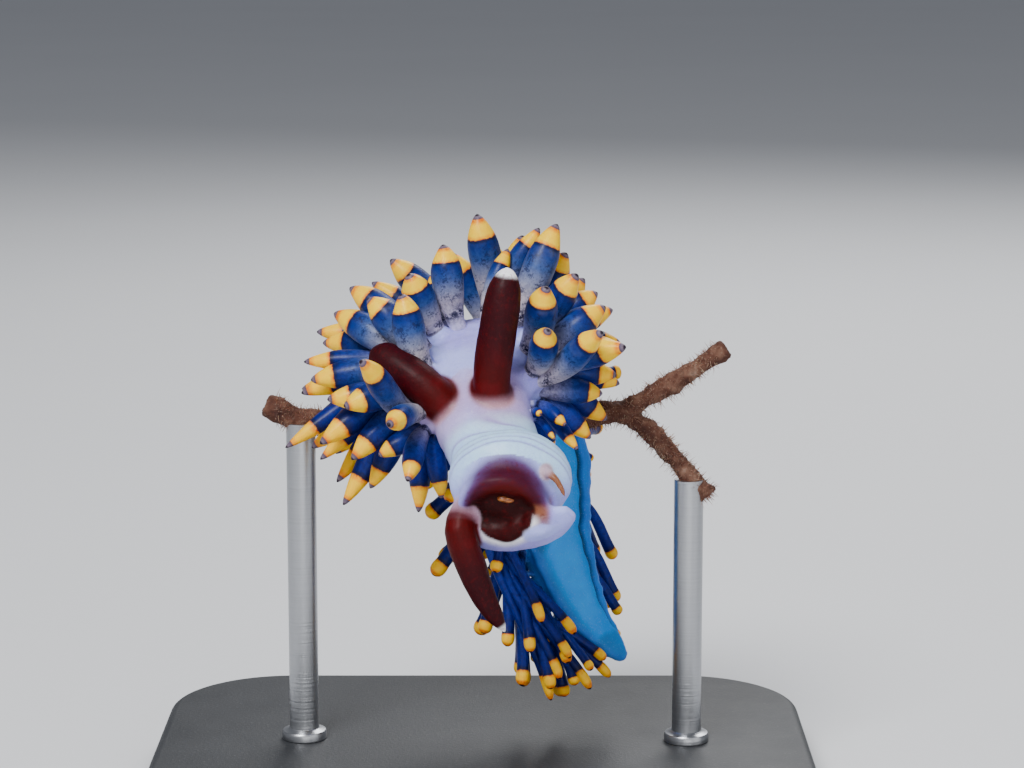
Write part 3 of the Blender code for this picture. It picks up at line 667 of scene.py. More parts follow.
def plan_cerata():
    draw = random.Random(7)
    planned = []
    for row in ROWS:
        for k in range(row.count):
            share = k / max(row.count - 1, 1)
            at = row.at + draw.uniform(-1, 1) * 0.24
            angle = row.inner + (row.outer - row.inner) * share + draw.uniform(-1, 1) * 2.4
            root, normal = root_on_flank(at, row.side, angle)
            lean = row.lean_in + (row.lean_out - row.lean_in) * share + draw.uniform(-1, 1) * 0.12
            length = (row.long + (row.short - row.long) * share) * (1 + draw.uniform(-1, 1) * 0.12)
            planned.append(Ceras(length_of(row.at), row.side, root, normal, normal + frame_at(at)[1] * lean,
                                 length, row.girth * (1 - 0.28 * share), share))
    return planned


STEM_RADIUS = 0.5
STEM_RUNS = (
    ((-10.0, 0.5, 0.4), (-8.4, 0.3, -0.25), (-5.0, 0.1, -0.35), (-1.5, 0.0, -0.05), (2.0, 0.0, 0.05),
     (4.9, 0.1, 0.25)),
    ((4.6, 0.1, 0.2), (6.3, 0.25, 1.2), (8.7, 0.5, 2.7)),
    ((4.5, 0.1, 0.2), (6.0, 0.0, -1.0), (7.9, -0.1, -3.3)),
)
ROD_ALONG = (-8.6, 7.2)
ROD_RADIUS = 0.6


def obstacle_balls():
    """(centre, radius) balls that stand for the other parts that cerata keep clear of."""
    balls = []
    for at in np.arange(0.6, BODY_LENGTH, 0.5):
        s = section_at(at)
        middle, _, left, back = frame_at(at)
        for side in (-0.55, 0, 0.55):
            balls.append((middle + left * side * s.half_width - back * 0.2,
                          min(s.back, s.half_width * 0.62)))
    for side in (-0.2, 0, 0.2):
        balls.append((np.array(HOOD_CENTRE) + (side * HOOD_RADII[0], 0, 0), HOOD_RADII[2] * 0.95))
    for feeler in FEELERS.values():
        for centre in through(feeler.points, 3):
            balls.append((centre, max(feeler.radii)))
    for run in STEM_RUNS:
        for centre in through(run, 8):
            balls.append((centre, STEM_RADIUS + 0.1))
    for along in ROD_ALONG:
        for height in np.arange(-13.6, 1, 0.6):
            balls.append((np.array([along, 0, height]), ROD_RADIUS))
    return balls


def ease_apart(cerata):
    """Turns the planned cerata about their roots, little by little, clear of one another and other parts."""
    shares = np.linspace(0.3, 1, CLEAR_SAMPLES)
    stops, thick = np.array(CAD_PROFILE).T
    swell = np.interp(shares, stops, thick)
    radius = np.concatenate([c.girth * swell for c in cerata])
    owner = np.repeat(np.arange(len(cerata)), CLEAR_SAMPLES)
    names = np.array([c.node for c in cerata])
    other_length = names[owner][:, None] != names[owner][None, :]
    room = radius[:, None] + radius[None, :] + np.where(other_length, CLEAR_OF_OTHERS, CLEAR_OF_SAME_LENGTH)
    same = owner[:, None] == owner[None, :]
    ball_at, ball_radius = (np.array(v) for v in zip(*obstacle_balls()))
    lever = np.tile(shares, len(cerata))
    for _ in range(EASING_ROUNDS):
        points = np.vstack([c.line(shares) for c in cerata])
        apart = points[:, None] - points[None]
        distance = np.linalg.norm(apart, axis=2) + 1e-9
        short = np.where(same, 0, np.maximum(room - distance, 0))
        push = (apart / distance[..., None] * short[..., None]).sum(1)
        off = points[:, None] - ball_at[None]
        gone = np.linalg.norm(off, axis=2) + 1e-9
        close = np.maximum(radius[:, None] + ball_radius[None] + CLEAR_OF_OTHERS - gone, 0)
        push += (off / gone[..., None] * (close * (lever[:, None] > 0.45))[..., None]).sum(1)
        push[:, 2] += np.maximum(LOWEST + radius - points[:, 2], 0) * 2
        for i, ceras in enumerate(cerata):
            mine = slice(i * CLEAR_SAMPLES, (i + 1) * CLEAR_SAMPLES)
            turn = (push[mine] * shares[:, None]).sum(0) / CLEAR_SAMPLES
            ceras.point_to = unit(ceras.point_to + turn * 0.5 / ceras.length)
    return cerata


# The frame's three smallest, at the neck, give way to the placed ones that the photograph shows there.
cerata = [c for c in ease_apart(plan_cerata()) if c.node != "front" or c.girth > SMALLEST_KEPT]
# These, by number, are turned to where the photograph shows their tips or clear of a placed neighbour.
TURNED = {
    0: (-4.73, -7.54, 1.08), 1: (-5.95, -7.19, 3.65), 3: (-5.13, -4.4, -0.71), 4: (-2.8, -4.0, -2.28),
    5: (-4.45, -3.8, 5.89), 6: (-6.5, -5.17, 1.36), 11: (-5.88, -2.4, 5.37), 12: (-7.3, -0.6, 4.42),
    15: (-7.85, -1.0, -0.99), 17: (-4.23, -2.0, 6.35), 18: (-6.73, 0.1, 5.41), 20: (-8.35, -1.29, 1.2),
    21: (-8.24, 0.0, -0.6), 23: (1.46, -5.6, 4.59), 24: (3.64, -6.0, 4.57), 28: (1.43, -4.6, 6.23),
    30: (4.55, -4.6, 3.65), 35: (2.75, -2.8, 6.46), 36: (4.18, -0.4, 4.51), 48: (0.5, 0.67, 7.69),
}
for number, tip in TURNED.items():
    cerata[number].aim(tip)


# Slug's skin, fused and finished: feelers, root cones and the cheek beside the mouth join the body's skin.
# It is evened out, folded at the muzzle and furrowed under the tail, then painted as its pigment lies, with
# painted light on the hood's top and the sole's middle, and painted shade on the hood's sides, in the
# muzzle's folds, on the sole's right edge, in its furrow and inside the mouth.
def root_boss(ceras):
    """A low cone of skin that the ceras grows out of."""
    shares = np.array([-0.10, -0.02, 0.05, 0.10, 0.14])
    radii = ceras.girth * np.array([0.85, 0.76, 0.64, 0.56, 0.42])
    return tube(ceras.line(shares), radii, 14)


CHEEK = ((0.55, -1.20, -0.15), (0.95, -0.92, 0.0), (1.45, -0.68, 0.05), (2.10, -0.45, -0.05))
CHEEK_RADII = (0.20, 0.40, 0.46, 0.30)
cheek_line = through([np.array(MOUTH_CENTRE) + mouth_left * u + mouth_up * w + mouth_out * d
                      for u, w, d in CHEEK], 6)
cheek_radii = spaced(CHEEK_RADII, np.linspace(0, 1, len(cheek_line)))
cheek = tube(cheek_line, cheek_radii, 24)
skin_forms = [feeler_form(feeler) for feeler in FEELERS.values()] + [root_boss(c) for c in cerata] + [cheek]
extras = joined("extras", skin_forms)
whole = bmesh.new()
whole.from_mesh(skin.data)
whole.from_mesh(extras.data)
whole.to_mesh(skin.data)
whole.free()
bpy.data.objects.remove(extras)
fuse(skin, FINE_VOXEL)


MUZZLE_FACING = (-0.04, -0.95, -0.30)
MUZZLE_FOLDS = ((71, 0.13, 118), (81, 0.12, 108), (92, 0.10, 98), (104, 0.08, 86), (118, 0.06, 74))
MUZZLE_RADIUS = 1.95
FOLD_SLOPE = 0.26
FOLD_DROP = 0.07
FURROW_HALF = 0.055
FURROW_DEEP = 0.26
STATION_STEP = 0.15
LIP_HALF_WIDTH = 1.68
LIP_HEIGHT = 1.90
MILK = (0.43, 0.47, 0.97)
HOOD_TOP_LIGHT = (0.47, 0.75, 1.0)
LILAC = (0.30, 0.23, 0.70)
ROSE = (0.52, 0.27, 0.33)
SKY = (0.003, 0.17, 0.68)
BRIGHT_SKY = (0.016, 0.38, 0.97)
TEAL = (0.0, 0.085, 0.19)
FLANK = (0.016, 0.22, 0.74)
FURROW_SHADE = (0.0, 0.045, 0.055)
MAROON = (0.062, 0.0, 0.0)
WINE = (0.11, 0.0, 0.002)
DUSK = (0.014, 0.0, 0.003)
VIOLET = (0.105, 0.050, 0.17)
TAN = (0.30, 0.11, 0.05)
CHALK = (0.95, 0.94, 0.98)
PLUM = (0.050, 0.003, 0.016)
SHADED_THROAT = (0.030, 0.0, 0.0005)
DEEP_THROAT_SHADE = (0.006, 0.0, 0.0)
FLUSH = (0.50, 0.26, 0.27)
AMBER = (0.24, 0.09, 0.04)
CHALK_TIPS = (("rhinophore_left", 0.925), ("oral_tentacle_right", 0.925), ("rhinophore_right", 0.975))

skin_points, skin_edges = read_mesh(skin)
skin_points = relaxed(skin_points, skin_edges, 0.9, 7)
write_points(skin, skin_points)
skin_out = read_normals(skin)

# Where each point of the skin lies along the body and across it.
stations = np.arange(0, BODY_LENGTH, STATION_STEP)
station_frames = [frame_at(at) for at in stations]
middles = np.array([f[0] for f in station_frames])
nearest = np.concatenate([np.linalg.norm(part[:, None] - middles[None], axis=2).argmin(1)
                          for part in np.array_split(skin_points, 12)])
along_body = stations[nearest]
from_middle = skin_points - middles[nearest]
leftward = (from_middle * np.array([f[2] for f in station_frames])[nearest]).sum(1)
backward = (from_middle * np.array([f[3] for f in station_frames])[nearest]).sum(1)
foot_half, belly = (np.interp(along_body, [s.at for s in SECTIONS], [getattr(s, part) for s in SECTIONS])
                    for part in ("foot", "belly"))
sole = soft(backward, 0.25 - belly, 0.05 - belly) * soft(along_body, 3.5, 5.5)
across_foot = leftward / foot_half

feeler_mask = np.zeros(len(skin_points))
feeler_share = np.zeros(len(skin_points))
base_glow = np.zeros(len(skin_points))
feeler_name = np.full(len(skin_points), "", object)
for name, feeler in FEELERS.items():
    gone, share = near_line(skin_points, feeler_line(feeler))
    radius = spaced(feeler.radii, share)
    inside = soft(gone, radius * 1.25 + 0.10, radius * 1.02 + 0.04)
    mine = inside > feeler_mask
    feeler_mask[mine], feeler_share[mine], feeler_name[mine] = inside[mine], share[mine], name
    if name.startswith("rhinophore"):
        base_glow = np.maximum(base_glow, soft(gone, 2.0, 0.7) * (share < 0.3))

# Folds round the muzzle, wrinkles over the neck and back, the sole's furrow and the folds inside the mouth.
muzzle_axis = unit(MUZZLE_FACING)
from_hood = (skin_points - HOOD_CENTRE) / np.array(HOOD_RADII)
hood_reach = np.linalg.norm(from_hood, axis=1)
hood_turn = np.arccos(np.clip((from_hood / hood_reach[:, None]) @ muzzle_axis, -1, 1))
muzzle_left = unit(np.array([1.0, 0, 0]) - muzzle_axis[0] * muzzle_axis)
muzzle_up = np.cross(muzzle_axis, muzzle_left)
round_muzzle = np.degrees(np.arctan2(from_hood @ muzzle_left, from_hood @ muzzle_up))
on_hood = soft(hood_reach, 1.5, 1.2) * soft(along_body, 6.5, 4.5)
wobble = lumps(skin_points, 0.7, 1) * on_hood
rise = np.zeros(len(skin_points))
crease_shade = np.zeros(len(skin_points))
for at, height, reach in MUZZLE_FOLDS:
    off = (np.degrees(hood_turn) - at + wobble * 6) * math.radians(1) * MUZZLE_RADIUS
    fold = np.exp(-(off / np.where(off < 0, FOLD_SLOPE, FOLD_DROP)) ** 2)
    fade = soft(np.abs(round_muzzle), reach, reach - 30) * on_hood
    rise += height * fold * fade
    # crease_shade marks a thin line beside each fold, painted darker as shade
    crease_shade = np.maximum(crease_shade, np.exp(-((off - 0.10) / 0.06) ** 2) * fade)
trunk_skin = (1 - on_hood) * (1 - feeler_mask) * (1 - sole)
fine = lumps(skin_points, 2.2, 2)
rise += trunk_skin * (0.020 * np.sin(along_body * 7.5 + lumps(skin_points, 0.6, 3) * 4) + 0.025 * fine)
furrow_at = 0.60 + 0.035 * np.sin(along_body * 2.1) + 0.02 * np.sin(along_body * 5.3)
furrow = (np.exp(-((across_foot - furrow_at) / FURROW_HALF) ** 2) * sole * soft(along_body, 12.5, 14.5)
          * soft(along_body, 25.2, 24.2))
rise -= FURROW_DEEP * furrow
rise += sole * 0.03 * lumps(skin_points, 1.1, 4)
rise += feeler_mask * 0.018 * lumps(skin_points, 1.8, 5)

from_mouth = skin_points - MOUTH_CENTRE
mouth_u, mouth_w, mouth_d = from_mouth @ mouth_left, from_mouth @ mouth_up, from_mouth @ mouth_out
low_half = mouth_w < 0
mouth_tall = np.where(low_half, MOUTH_HALF_HEIGHT + THROAT_DROP, MOUTH_HALF_HEIGHT)
mouth_wide = np.where(low_half, MOUTH_HALF_WIDTH * 0.93, MOUTH_HALF_WIDTH)
beyond = (np.hypot(mouth_u / mouth_wide, mouth_w / mouth_tall) - 1) * mouth_tall
near_mouth = soft(np.linalg.norm(from_mouth, axis=1), 3.2, 2.6) * (along_body < 4.5) * (mouth_d > -1.4)
from_cheek, cheek_share = near_line(skin_points, cheek_line)
cheek_skin = spaced(CHEEK_RADII, cheek_share)
in_cheek = soft(from_cheek, cheek_skin + 0.12, cheek_skin + 0.02)
in_mouth = near_mouth * soft(beyond, 0.06, -0.06) * (1 - feeler_mask) * (1 - in_cheek)
rise += in_mouth * 0.035 * np.sin(mouth_u * 7 + 2 * lumps(skin_points, 1.0, 6))
skin_points = skin_points + skin_out * rise[:, None]
skin_points = relaxed(skin_points, skin_edges, 0.5, 1)
write_points(skin, skin_points)


def blend(base, colour, share):
    return base + (np.array(colour) - base) * np.clip(share, 0, 1)[:, None]


patchy = lumps(skin_points, 0.45, 8)
rear = soft(along_body, 10.5, 13.5)
tail_end = soft(along_body, 23.2, 25.2)
# painted highlight: the sole is a brighter blue along its middle, as a sheen, fading towards both edges
sole_sheen = soft(np.abs(across_foot + 0.1), 1.05, 0.15) * (1 - tail_end) + 0.55 * tail_end
sea = blend(blend(np.tile(SKY, (len(skin_points), 1)), BRIGHT_SKY, sole_sheen * 0.9), TEAL,
            # painted shade: teal darkens the sole towards the slug's right edge, with random teal clouds
            # added besides
            0.75 * soft(across_foot, -0.45, -0.95) * (1 - tail_end)
            + 0.4 * soft(lumps(skin_points, 0.6, 9), 0.15, 0.5))
lip = near_mouth * (1 - feeler_mask) * (mouth_d > -0.9)
low_lip = lip * (1 - soft(mouth_w, -0.30, 0.10))
high_lip = lip * soft(mouth_w, -0.30, 0.10)
arch = np.hypot((mouth_u - 0.10) / LIP_HALF_WIDTH, mouth_w / LIP_HEIGHT)
left_bar = feeler_name == "oral_tentacle_left"
wine_part = feeler_mask * soft(feeler_share, 0.09, 0.20) * ~left_bar
tint = np.tile(MILK, (len(skin_points), 1))
for colour, share in (
    (LILAC, 0.55 * soft(patchy, -0.2, 0.5) * soft(along_body, 14, 9)),
    # painted light: the top of the hood is a paler icy blue, lighter where light from above falls
    (HOOD_TOP_LIGHT, 0.9 * on_hood * soft(np.abs(round_muzzle), 120, 40)),
    # painted shade: the hood's sides and underside are darkened to lavender, where shade falls
    (LILAC, 0.50 * on_hood * soft(np.abs(round_muzzle), 60, 130)),
    # painted shade: the muzzle's fold lines are darkened with lilac
    (LILAC, crease_shade * 0.75),
    (ROSE, 0.55 * base_glow),
    (FLANK, rear * 0.96),
    (sea, rear * sole),
    # painted shade: the sole's furrow is darkened to a deep green line
    (FURROW_SHADE, furrow * 0.95),
    (LILAC, high_lip * soft(arch, 1.22, 1.02) * 0.65),
    (VIOLET, high_lip * soft(arch, 1.08, 0.90)),
    (PLUM, high_lip * soft(arch, 0.99, 0.80)),
    (MAROON, high_lip * soft(arch, 0.80, 0.60)),
    (TAN, lip * soft(mouth_u, 1.0, 1.3) * soft(np.abs(mouth_w + 0.05), 0.55, 0.25)
     * soft(arch, 1.10, 0.95) * 0.7),
    (CHALK, low_lip * soft(beyond, 0.45, 0.05) * 0.9),
    (MILK, near_mouth * in_cheek),
    # painted shade: the mouth's inside is a dark red darkened to near black, and darker still deeper in
    (SHADED_THROAT, in_mouth),
    (DEEP_THROAT_SHADE, in_mouth * soft(mouth_d, 0.30, -0.30)),
    (FLUSH, feeler_mask * soft(feeler_share, 0.0, 0.12) * 0.8),
    (MAROON, wine_part),
    (WINE, wine_part * soft(lumps(skin_points, 1.6, 10), 0.0, 0.5) * 0.4),
    (DUSK, wine_part * soft(feeler_share, 0.22, 0.60) * 0.72),
    (AMBER, feeler_mask * soft(feeler_share, 0.45, 0.60) * left_bar),
    *((CHALK, feeler_mask * (feeler_name == name) * soft(feeler_share, start, start + 0.03))
      for name, start in CHALK_TIPS),
):
    tint = blend(tint, colour, share)

colours = skin.data.color_attributes.new("tint", "FLOAT_COLOR", "POINT")
colours.data.foreach_set("color", np.column_stack([np.clip(tint, 0, 1), np.ones(len(tint))]).ravel())
dark_mask = skin.data.attributes.new("dark", "FLOAT", "POINT")
dark_mask.data.foreach_set("value", np.clip(
    wine_part + in_mouth + high_lip * soft(arch, 1.06, 0.92) + 0.6 * rear, 0, 1))


def dress(obj, finish):
    """Gives a finished piece its material, moves it from millimetres about the stem's axis to metres in the
    row frame, and shades it smooth."""
    obj.data.materials.clear()
    obj.data.materials.append(finish.material)
    obj.data.transform(Matrix.Translation(Vector(HANG_POINT) * MM) @ Matrix.Scale(MM, 4))
    obj.data.shade_smooth()


skin_finish = Finish("slug_skin", Coat_Roughness=0.25, Subsurface_Weight=0.30,
                     Subsurface_Radius=(0.8, 0.6, 0.9), Subsurface_Scale=0.30 * MM, Specular_IOR_Level=0.12)
darkness = skin_finish.attribute("dark")
cloudy = skin_finish.noise(1.3, detail=5)
grains = skin_finish.noise(16, detail=2, rough=0.6)
flecks = skin_finish.noise(6, detail=3, rough=0.6)
veins = skin_finish.noise(2.2, detail=4, rough=0.6)
painted = skin_finish.coats(
    skin_finish.attribute("tint", "Color"),
    (cloudy.between(0.35, 0.75) * 0.22, (0.60, 0.60, 0.78), "MULTIPLY"),
    (grains.between(0.58, 0.70) * (0.16 - darkness * 0.16), CHALK),
    (flecks.between(0.50, 0.70) * darkness.between(0.7, 1) * 0.4, (0.09, 0.0, 0.001)),
    (veins.bump_at(0.50, 0.035) * (0.20 - darkness * 0.20), (0.50, 0.46, 0.78), "MULTIPLY"),
)
skin_finish.set(Base_Color=painted, Roughness=0.38 + grains * 0.14 + darkness * 0.10,
                Coat_Weight=0.20 - darkness * 0.17)
skin_finish.bump(skin_finish.noise(7, detail=4) * 0.7 + grains * 0.3, 0.030)
dress(skin, skin_finish)
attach(skin, "root")
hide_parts("head", *FEELERS, "trunk_front", "trunk_crest", "trunk_rear", "tail",
            "foot_front", "foot_crest", "foot_rear", "foot_tail")


# Jaws: a pair of small amber, horny plates that show at the upper edge of the mouth. They are two flattened
# grains, faintly lined as they grow, and sit in the throat's upper wall.
JAW_RADII = (0.24, 0.16, 0.13)
jaw_plates = []
for across, drop in ((0.02, 0.50), (0.20, 0.46)):
    middle = np.array(MOUTH_CENTRE) + mouth_left * across + mouth_up * drop + mouth_out * 0.05
    jaw_plates.append(blob(middle, mouth_axes, JAW_RADII, 24))
jaws = joined("jaws", jaw_plates)
horn = Finish("jaw_horn", Coat_Weight=0.15, Coat_Roughness=0.2, Subsurface_Weight=0.3,
              Subsurface_Radius=(1.0, 0.5, 0.2), Subsurface_Scale=0.15 * MM)
growth_lines = horn.noise(5, detail=4, stretch=(0.4, 1, 2.5))
amber = horn.ramp(growth_lines, (
    (0.30, (0.05, 0.008, 0.001)), (0.50, (0.22, 0.055, 0.006)), (0.70, (0.50, 0.20, 0.03))))
horn.set(Base_Color=amber, Roughness=0.25 + growth_lines * 0.25)
horn.bump(growth_lines, 0.02)
dress(jaws, horn)
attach(jaws, "root")


# Cerata, grown: closed fleshy clubs, whitish and dark-dotted at the root, blue above and ringed with yellow
# below a small dark tip. Each is spun round its bent line, from a root sunk in the skin. Behind the crest
# they are slender, blunt and blue to the root.
NAVY = (0.004, 0.006, 0.045)
SHAPELY = (
    (0.0, 0.52), (0.07, 0.56), (0.16, 0.68), (0.30, 0.87), (0.45, 0.99), (0.60, 1.04), (0.70, 0.99),
    (0.78, 0.87), (0.85, 0.69), (0.91, 0.50), (0.955, 0.33), (0.982, 0.20), (0.995, 0.10), (1.0, 0.03),
)
BLUNT = (
    (0.0, 0.60), (0.12, 0.70), (0.30, 0.82), (0.55, 0.92), (0.76, 0.96), (0.86, 0.98), (0.90, 1.08),
    (0.935, 1.08), (0.962, 0.94), (0.978, 0.74), (0.990, 0.50), (0.9975, 0.24), (1.0, 0.05),
)
FULLNESS = {"front": 0.93, "crest": 0.99, "rear": 0.80, "tail": 0.80}
FORESHORTENED = 0.45
CERAS_RINGS = 34
TIP_RINGS = 8
TIP_FROM = 0.90
CERAS_SIDES = 22
ROOT_SINK = 0.06
LUMPINESS = 0.035
tip_shares = TIP_FROM + (1 - TIP_FROM) * np.sin(np.linspace(0, math.pi / 2, TIP_RINGS)[1:])
ceras_shares = np.concatenate([[-0.05], np.linspace(0, TIP_FROM, CERAS_RINGS - TIP_RINGS), tip_shares])
draw = random.Random(21)


def ceras_form(ceras):
    """A club with a pointed tip, slender and blunt behind the crest, marked with how its colours lie."""
    behind = ceras.node in ("rear", "tail")
    stops, thick = np.array(BLUNT if behind else SHAPELY).T
    band_shift = ((0, 0.875, 1), (0, 0.785, 0.992)) if behind else ((0, 1), (0, 1))
    radii = ceras.girth * np.interp(ceras_shares, stops, thick) * FULLNESS[ceras.node]
    radii *= 1 - FORESHORTENED * max(-ceras.point_to[1] - 0.55, 0)
    radii[0] = radii[1] * 1.05
    tone = 1.0 if behind else min(max(ceras.outer * 1.2 - 0.08 + draw.uniform(-0.18, 0.15), 0), 1)
    chance = draw.random()
    shift = Vector((draw.random(), draw.random(), draw.random())) * 9
    line = ceras.line(ceras_shares)
    if ceras.bend > GENTLE_BEND:
        line[0] = ceras.root - ceras.normal * ROOT_SINK
    colour_shares = np.interp(ceras_shares, *band_shift).tolist()
    return tube(line, radii, CERAS_SIDES, marks=(
        ("along", lambda ring, turn: colour_shares[ring]),
        ("tone", lambda ring, turn: tone),
        ("chance", lambda ring, turn: chance),
        ("rounded", lambda ring, turn: float(behind)),
    ), swell=lambda point: LUMPINESS * noise.noise(Vector(point) * 1.4 + shift))


WIDEST = 112
PLACED_CERATA = (
    (4.25, 1, 72, (1.13, -5.2, 1.11), 0.19),
    (4.35, 1, 96, (1.67, -5.3, 0.22), 0.17),
    (5.2, 1, 86, (2.1, -5.0, 0.76), 0.30),
    (5.9, 1, 108, (2.58, -4.6, -0.2), 0.30),
    (9.6, 1, 10, (1.09, -0.18, 8.17), 0.5),
    (8.9, 1, 4, (-0.16, -0.6, 7.29), 0.42),
    (8.9, -1, 24, (-2.75, -0.9, 7.52), 0.68),
    (9.5, -1, 40, (-3.25, 0.8, 5.97), 0.42),
    (8.4, -1, 100, (-9.05, -2.18, -0.25), 0.42),
    (8.6, -1, 92, (-8.56, 0.68, 1.54), 0.46),
    (8.0, -1, 84, (-8.32, -1.4, 2.96), 0.46),
    (7.6, -1, 108, (-7.62, -2.79, -0.73), 0.44),
    (20.0, -1, 112, (2.57, -0.59, -8.53), 0.25),
    (20.6, -1, 112, (2.37, -0.79, -9.49), 0.25),
    (22.4, -1, 112, (3.85, 0.3, -9.96), 0.25),
    (22.0, -1, 112, (4.06, 0.5, -10.66), 0.25),
    (20.4, -1, 112, (1.97, -0.49, -10.39), 0.25),
    (18.2, -1, 112, (1.22, -0.69, -7.93), 0.25),
    (19.4, -1, 112, (1.61, 0.2, -11.32), 0.25),
    (21.2, -1, 112, (3.23, 0.01, -10.97), 0.25),
)


def placed_cerata():
    """Cerata that the photograph shows beyond the rows: at the crest, at the far right, and the slender ones
    that curl forward past the edge of the foot towards the tail's tip."""
    found = []
    for at, side, angle, tip, girth in PLACED_CERATA:
        root, normal = root_on_flank(at, side, angle)
        reach = np.array(tip) - root
        placed = Ceras(length_of(at), side, root, normal, reach, np.linalg.norm(reach), girth,
                       angle / WIDEST)
        if at > LENGTH_ENDS[1]:
            placed.bend = CURLED_BEND
        found.append(placed)
    return found


YOUNG_TRIES = 2400
YOUNG_MOST = 70
YOUNG_ALONG = (5.4, 23.5)
YOUNG_LONG = (1.1, 2.4)
YOUNG_SLENDER = (0.13, 0.17)
YOUNG_OUTER = 0.85
MOST_SUNK = 0.10
FEELER_ROOM = 0.25


def young_cerata():
    """Short young cerata that stand in the gaps between the rows, wherever they touch no grown one."""
    grown = np.vstack([c.line(np.linspace(0, 1, 14)) for c in cerata])
    grown_girth = np.repeat([c.girth for c in cerata], 14)
    for feeler in FEELERS.values():
        beside = through(feeler.points, 4)
        grown = np.vstack([grown, beside])
        grown_girth = np.concatenate([grown_girth, np.full(len(beside), max(feeler.radii) + FEELER_ROOM)])
    found = []
    for _ in range(YOUNG_TRIES):
        at = draw.uniform(*YOUNG_ALONG)
        side = draw.choice((-1, 1))
        highest = 30 if 10 < at < 14 else 50 if at > 14 else 72
        lowest = 60 if side > 0 and at > 10 else 116
        root, normal = root_on_flank(at, side, draw.uniform(highest, lowest))
        lean = draw.uniform(-0.4, 0.5) + max(at - 16, 0) * 0.25
        length = draw.uniform(*YOUNG_LONG)
        girth = length * draw.uniform(*YOUNG_SLENDER)
        young = Ceras(length_of(at), side, root, normal, normal + frame_at(at)[1] * lean, length, girth,
                      YOUNG_OUTER)
        points = young.line(np.linspace(0.1, 1, 6))
        gone = np.linalg.norm(points[:, None] - grown[None], axis=2) - grown_girth[None] - girth
        if gone.min() > -MOST_SUNK and len(found) < YOUNG_MOST:
            found.append(young)
            grown = np.vstack([grown, points])
            grown_girth = np.concatenate([grown_girth, np.full(len(points), girth)])
    return found


cerata_finish = Finish("cerata_skin", Coat_Weight=0.08, Coat_Roughness=0.20, Subsurface_Weight=0.18,
                       Subsurface_Radius=(0.6, 0.7, 1.0), Subsurface_Scale=0.25 * MM,
                       Specular_IOR_Level=0.16)
along, tone, chance, rounded = (cerata_finish.attribute(mark)
                                for mark in ("along", "tone", "chance", "rounded"))
ragged = cerata_finish.noise(5, detail=4, rough=0.65)
granules = cerata_finish.noise(11, detail=5, rough=0.75)
clumps = cerata_finish.noise(2.4, detail=2)
ragged_along = along + (ragged - 0.5) * 0.05
pale = cerata_finish.ramp(ragged_along, (
    (0.0, (0.72, 0.66, 0.86)), (0.12, (0.62, 0.56, 0.66)), (0.30, (0.50, 0.44, 0.49)),
    (0.44, (0.23, 0.25, 0.37)), (0.58, (0.032, 0.080, 0.27)), (0.70, (0.002, 0.024, 0.19)),
    (0.80, (0.0, 0.008, 0.12))))
deep = cerata_finish.ramp(ragged_along, (
    (0.0, (0.42, 0.40, 0.68)), (0.07, (0.11, 0.14, 0.38)), (0.18, (0.004, 0.034, 0.27)),
    (0.40, (0.0, 0.020, 0.27)), (0.66, (0.0, 0.013, 0.21)), (0.80, (0.0, 0.005, 0.11))))
blue_root = (1 - along.between(0.0, 0.14)) * rounded
mottle = cerata_finish.noise(6.5, detail=4, rough=0.7).between(0.42, 0.60)
blotches = (granules + clumps * 0.8).between(0.93, 1.04) * along.between(0.04, 0.14) * (1 - tone * 0.45)
root_dots = (granules + ragged * 0.8).between(0.78, 0.88) * along.bump_at(0.17, 0.12)
veil = cerata_finish.noise(1.1, detail=3).between(0.50, 0.75)
edge = along + (chance - 0.5) * 0.035 + (ragged - 0.5) * 0.026 + (1 - tone) * 0.012
body = cerata_finish.coats(
    cerata_finish.mix(tone, pale, deep),
    (blue_root * 0.9, (0.010, 0.15, 0.55)),
    (mottle * (0.38 + tone * 0.20), (0.30, 0.32, 0.46), "MULTIPLY"),
    (blotches * 0.72, NAVY),
    (root_dots * clumps.between(0.34, 0.46) * 0.96, (0.002, 0.002, 0.026)),
    (veil * (0.10 - tone * 0.09), (0.34, 0.38, 0.50)),
    (edge.bump_at(0.782, 0.030) * 0.85, (0.004, 0.006, 0.030)),
)
band = cerata_finish.coats(
    cerata_finish.ramp(edge, (
        (0.790, (0.62, 0.075, 0.0)), (0.804, (0.88, 0.32, 0.0)), (0.830, (1.0, 0.60, 0.0)),
        (0.918, (1.0, 0.55, 0.0)), (0.952, (0.75, 0.17, 0.0)))),
    (ragged.between(0.40, 0.62) * 0.30, (1.0, 0.72, 0.03)),
    (tone * 0.50, (1.0, 0.84, 0.10), "MULTIPLY"),
)
tip_edge = along + (chance - 0.5) * 0.008
tip = cerata_finish.ramp(tip_edge, (
    (0.952, (0.070, 0.042, 0.075)), (0.968, (0.12, 0.09, 0.14)), (0.981, (0.17, 0.13, 0.17)),
    (0.991, (0.010, 0.003, 0.012))))
colour = cerata_finish.coats(
    body,
    (edge.between(0.786, 0.797), band),
    (tip_edge.between(0.950, 0.958) * (1 - rounded), tip),
    (tip_edge.between(0.976, 0.980) * rounded, (0.006, 0.001, 0.008)),
)
cerata_finish.set(Base_Color=colour, Roughness=0.34 + granules * 0.16)
cerata_finish.bump(granules * 0.4 + cerata_finish.noise(4) * 0.6, 0.022)

cerata += placed_cerata()
cerata += young_cerata()
for length_name in LENGTHS:
    for side_name, sign in (("right", -1), ("left", 1)):
        mine = [c for c in cerata if c.node == length_name and c.side == sign]
        group = joined("cerata_" + length_name + "_" + side_name, [ceras_form(c) for c in mine])
        dress(group, cerata_finish)
        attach(group, "root")


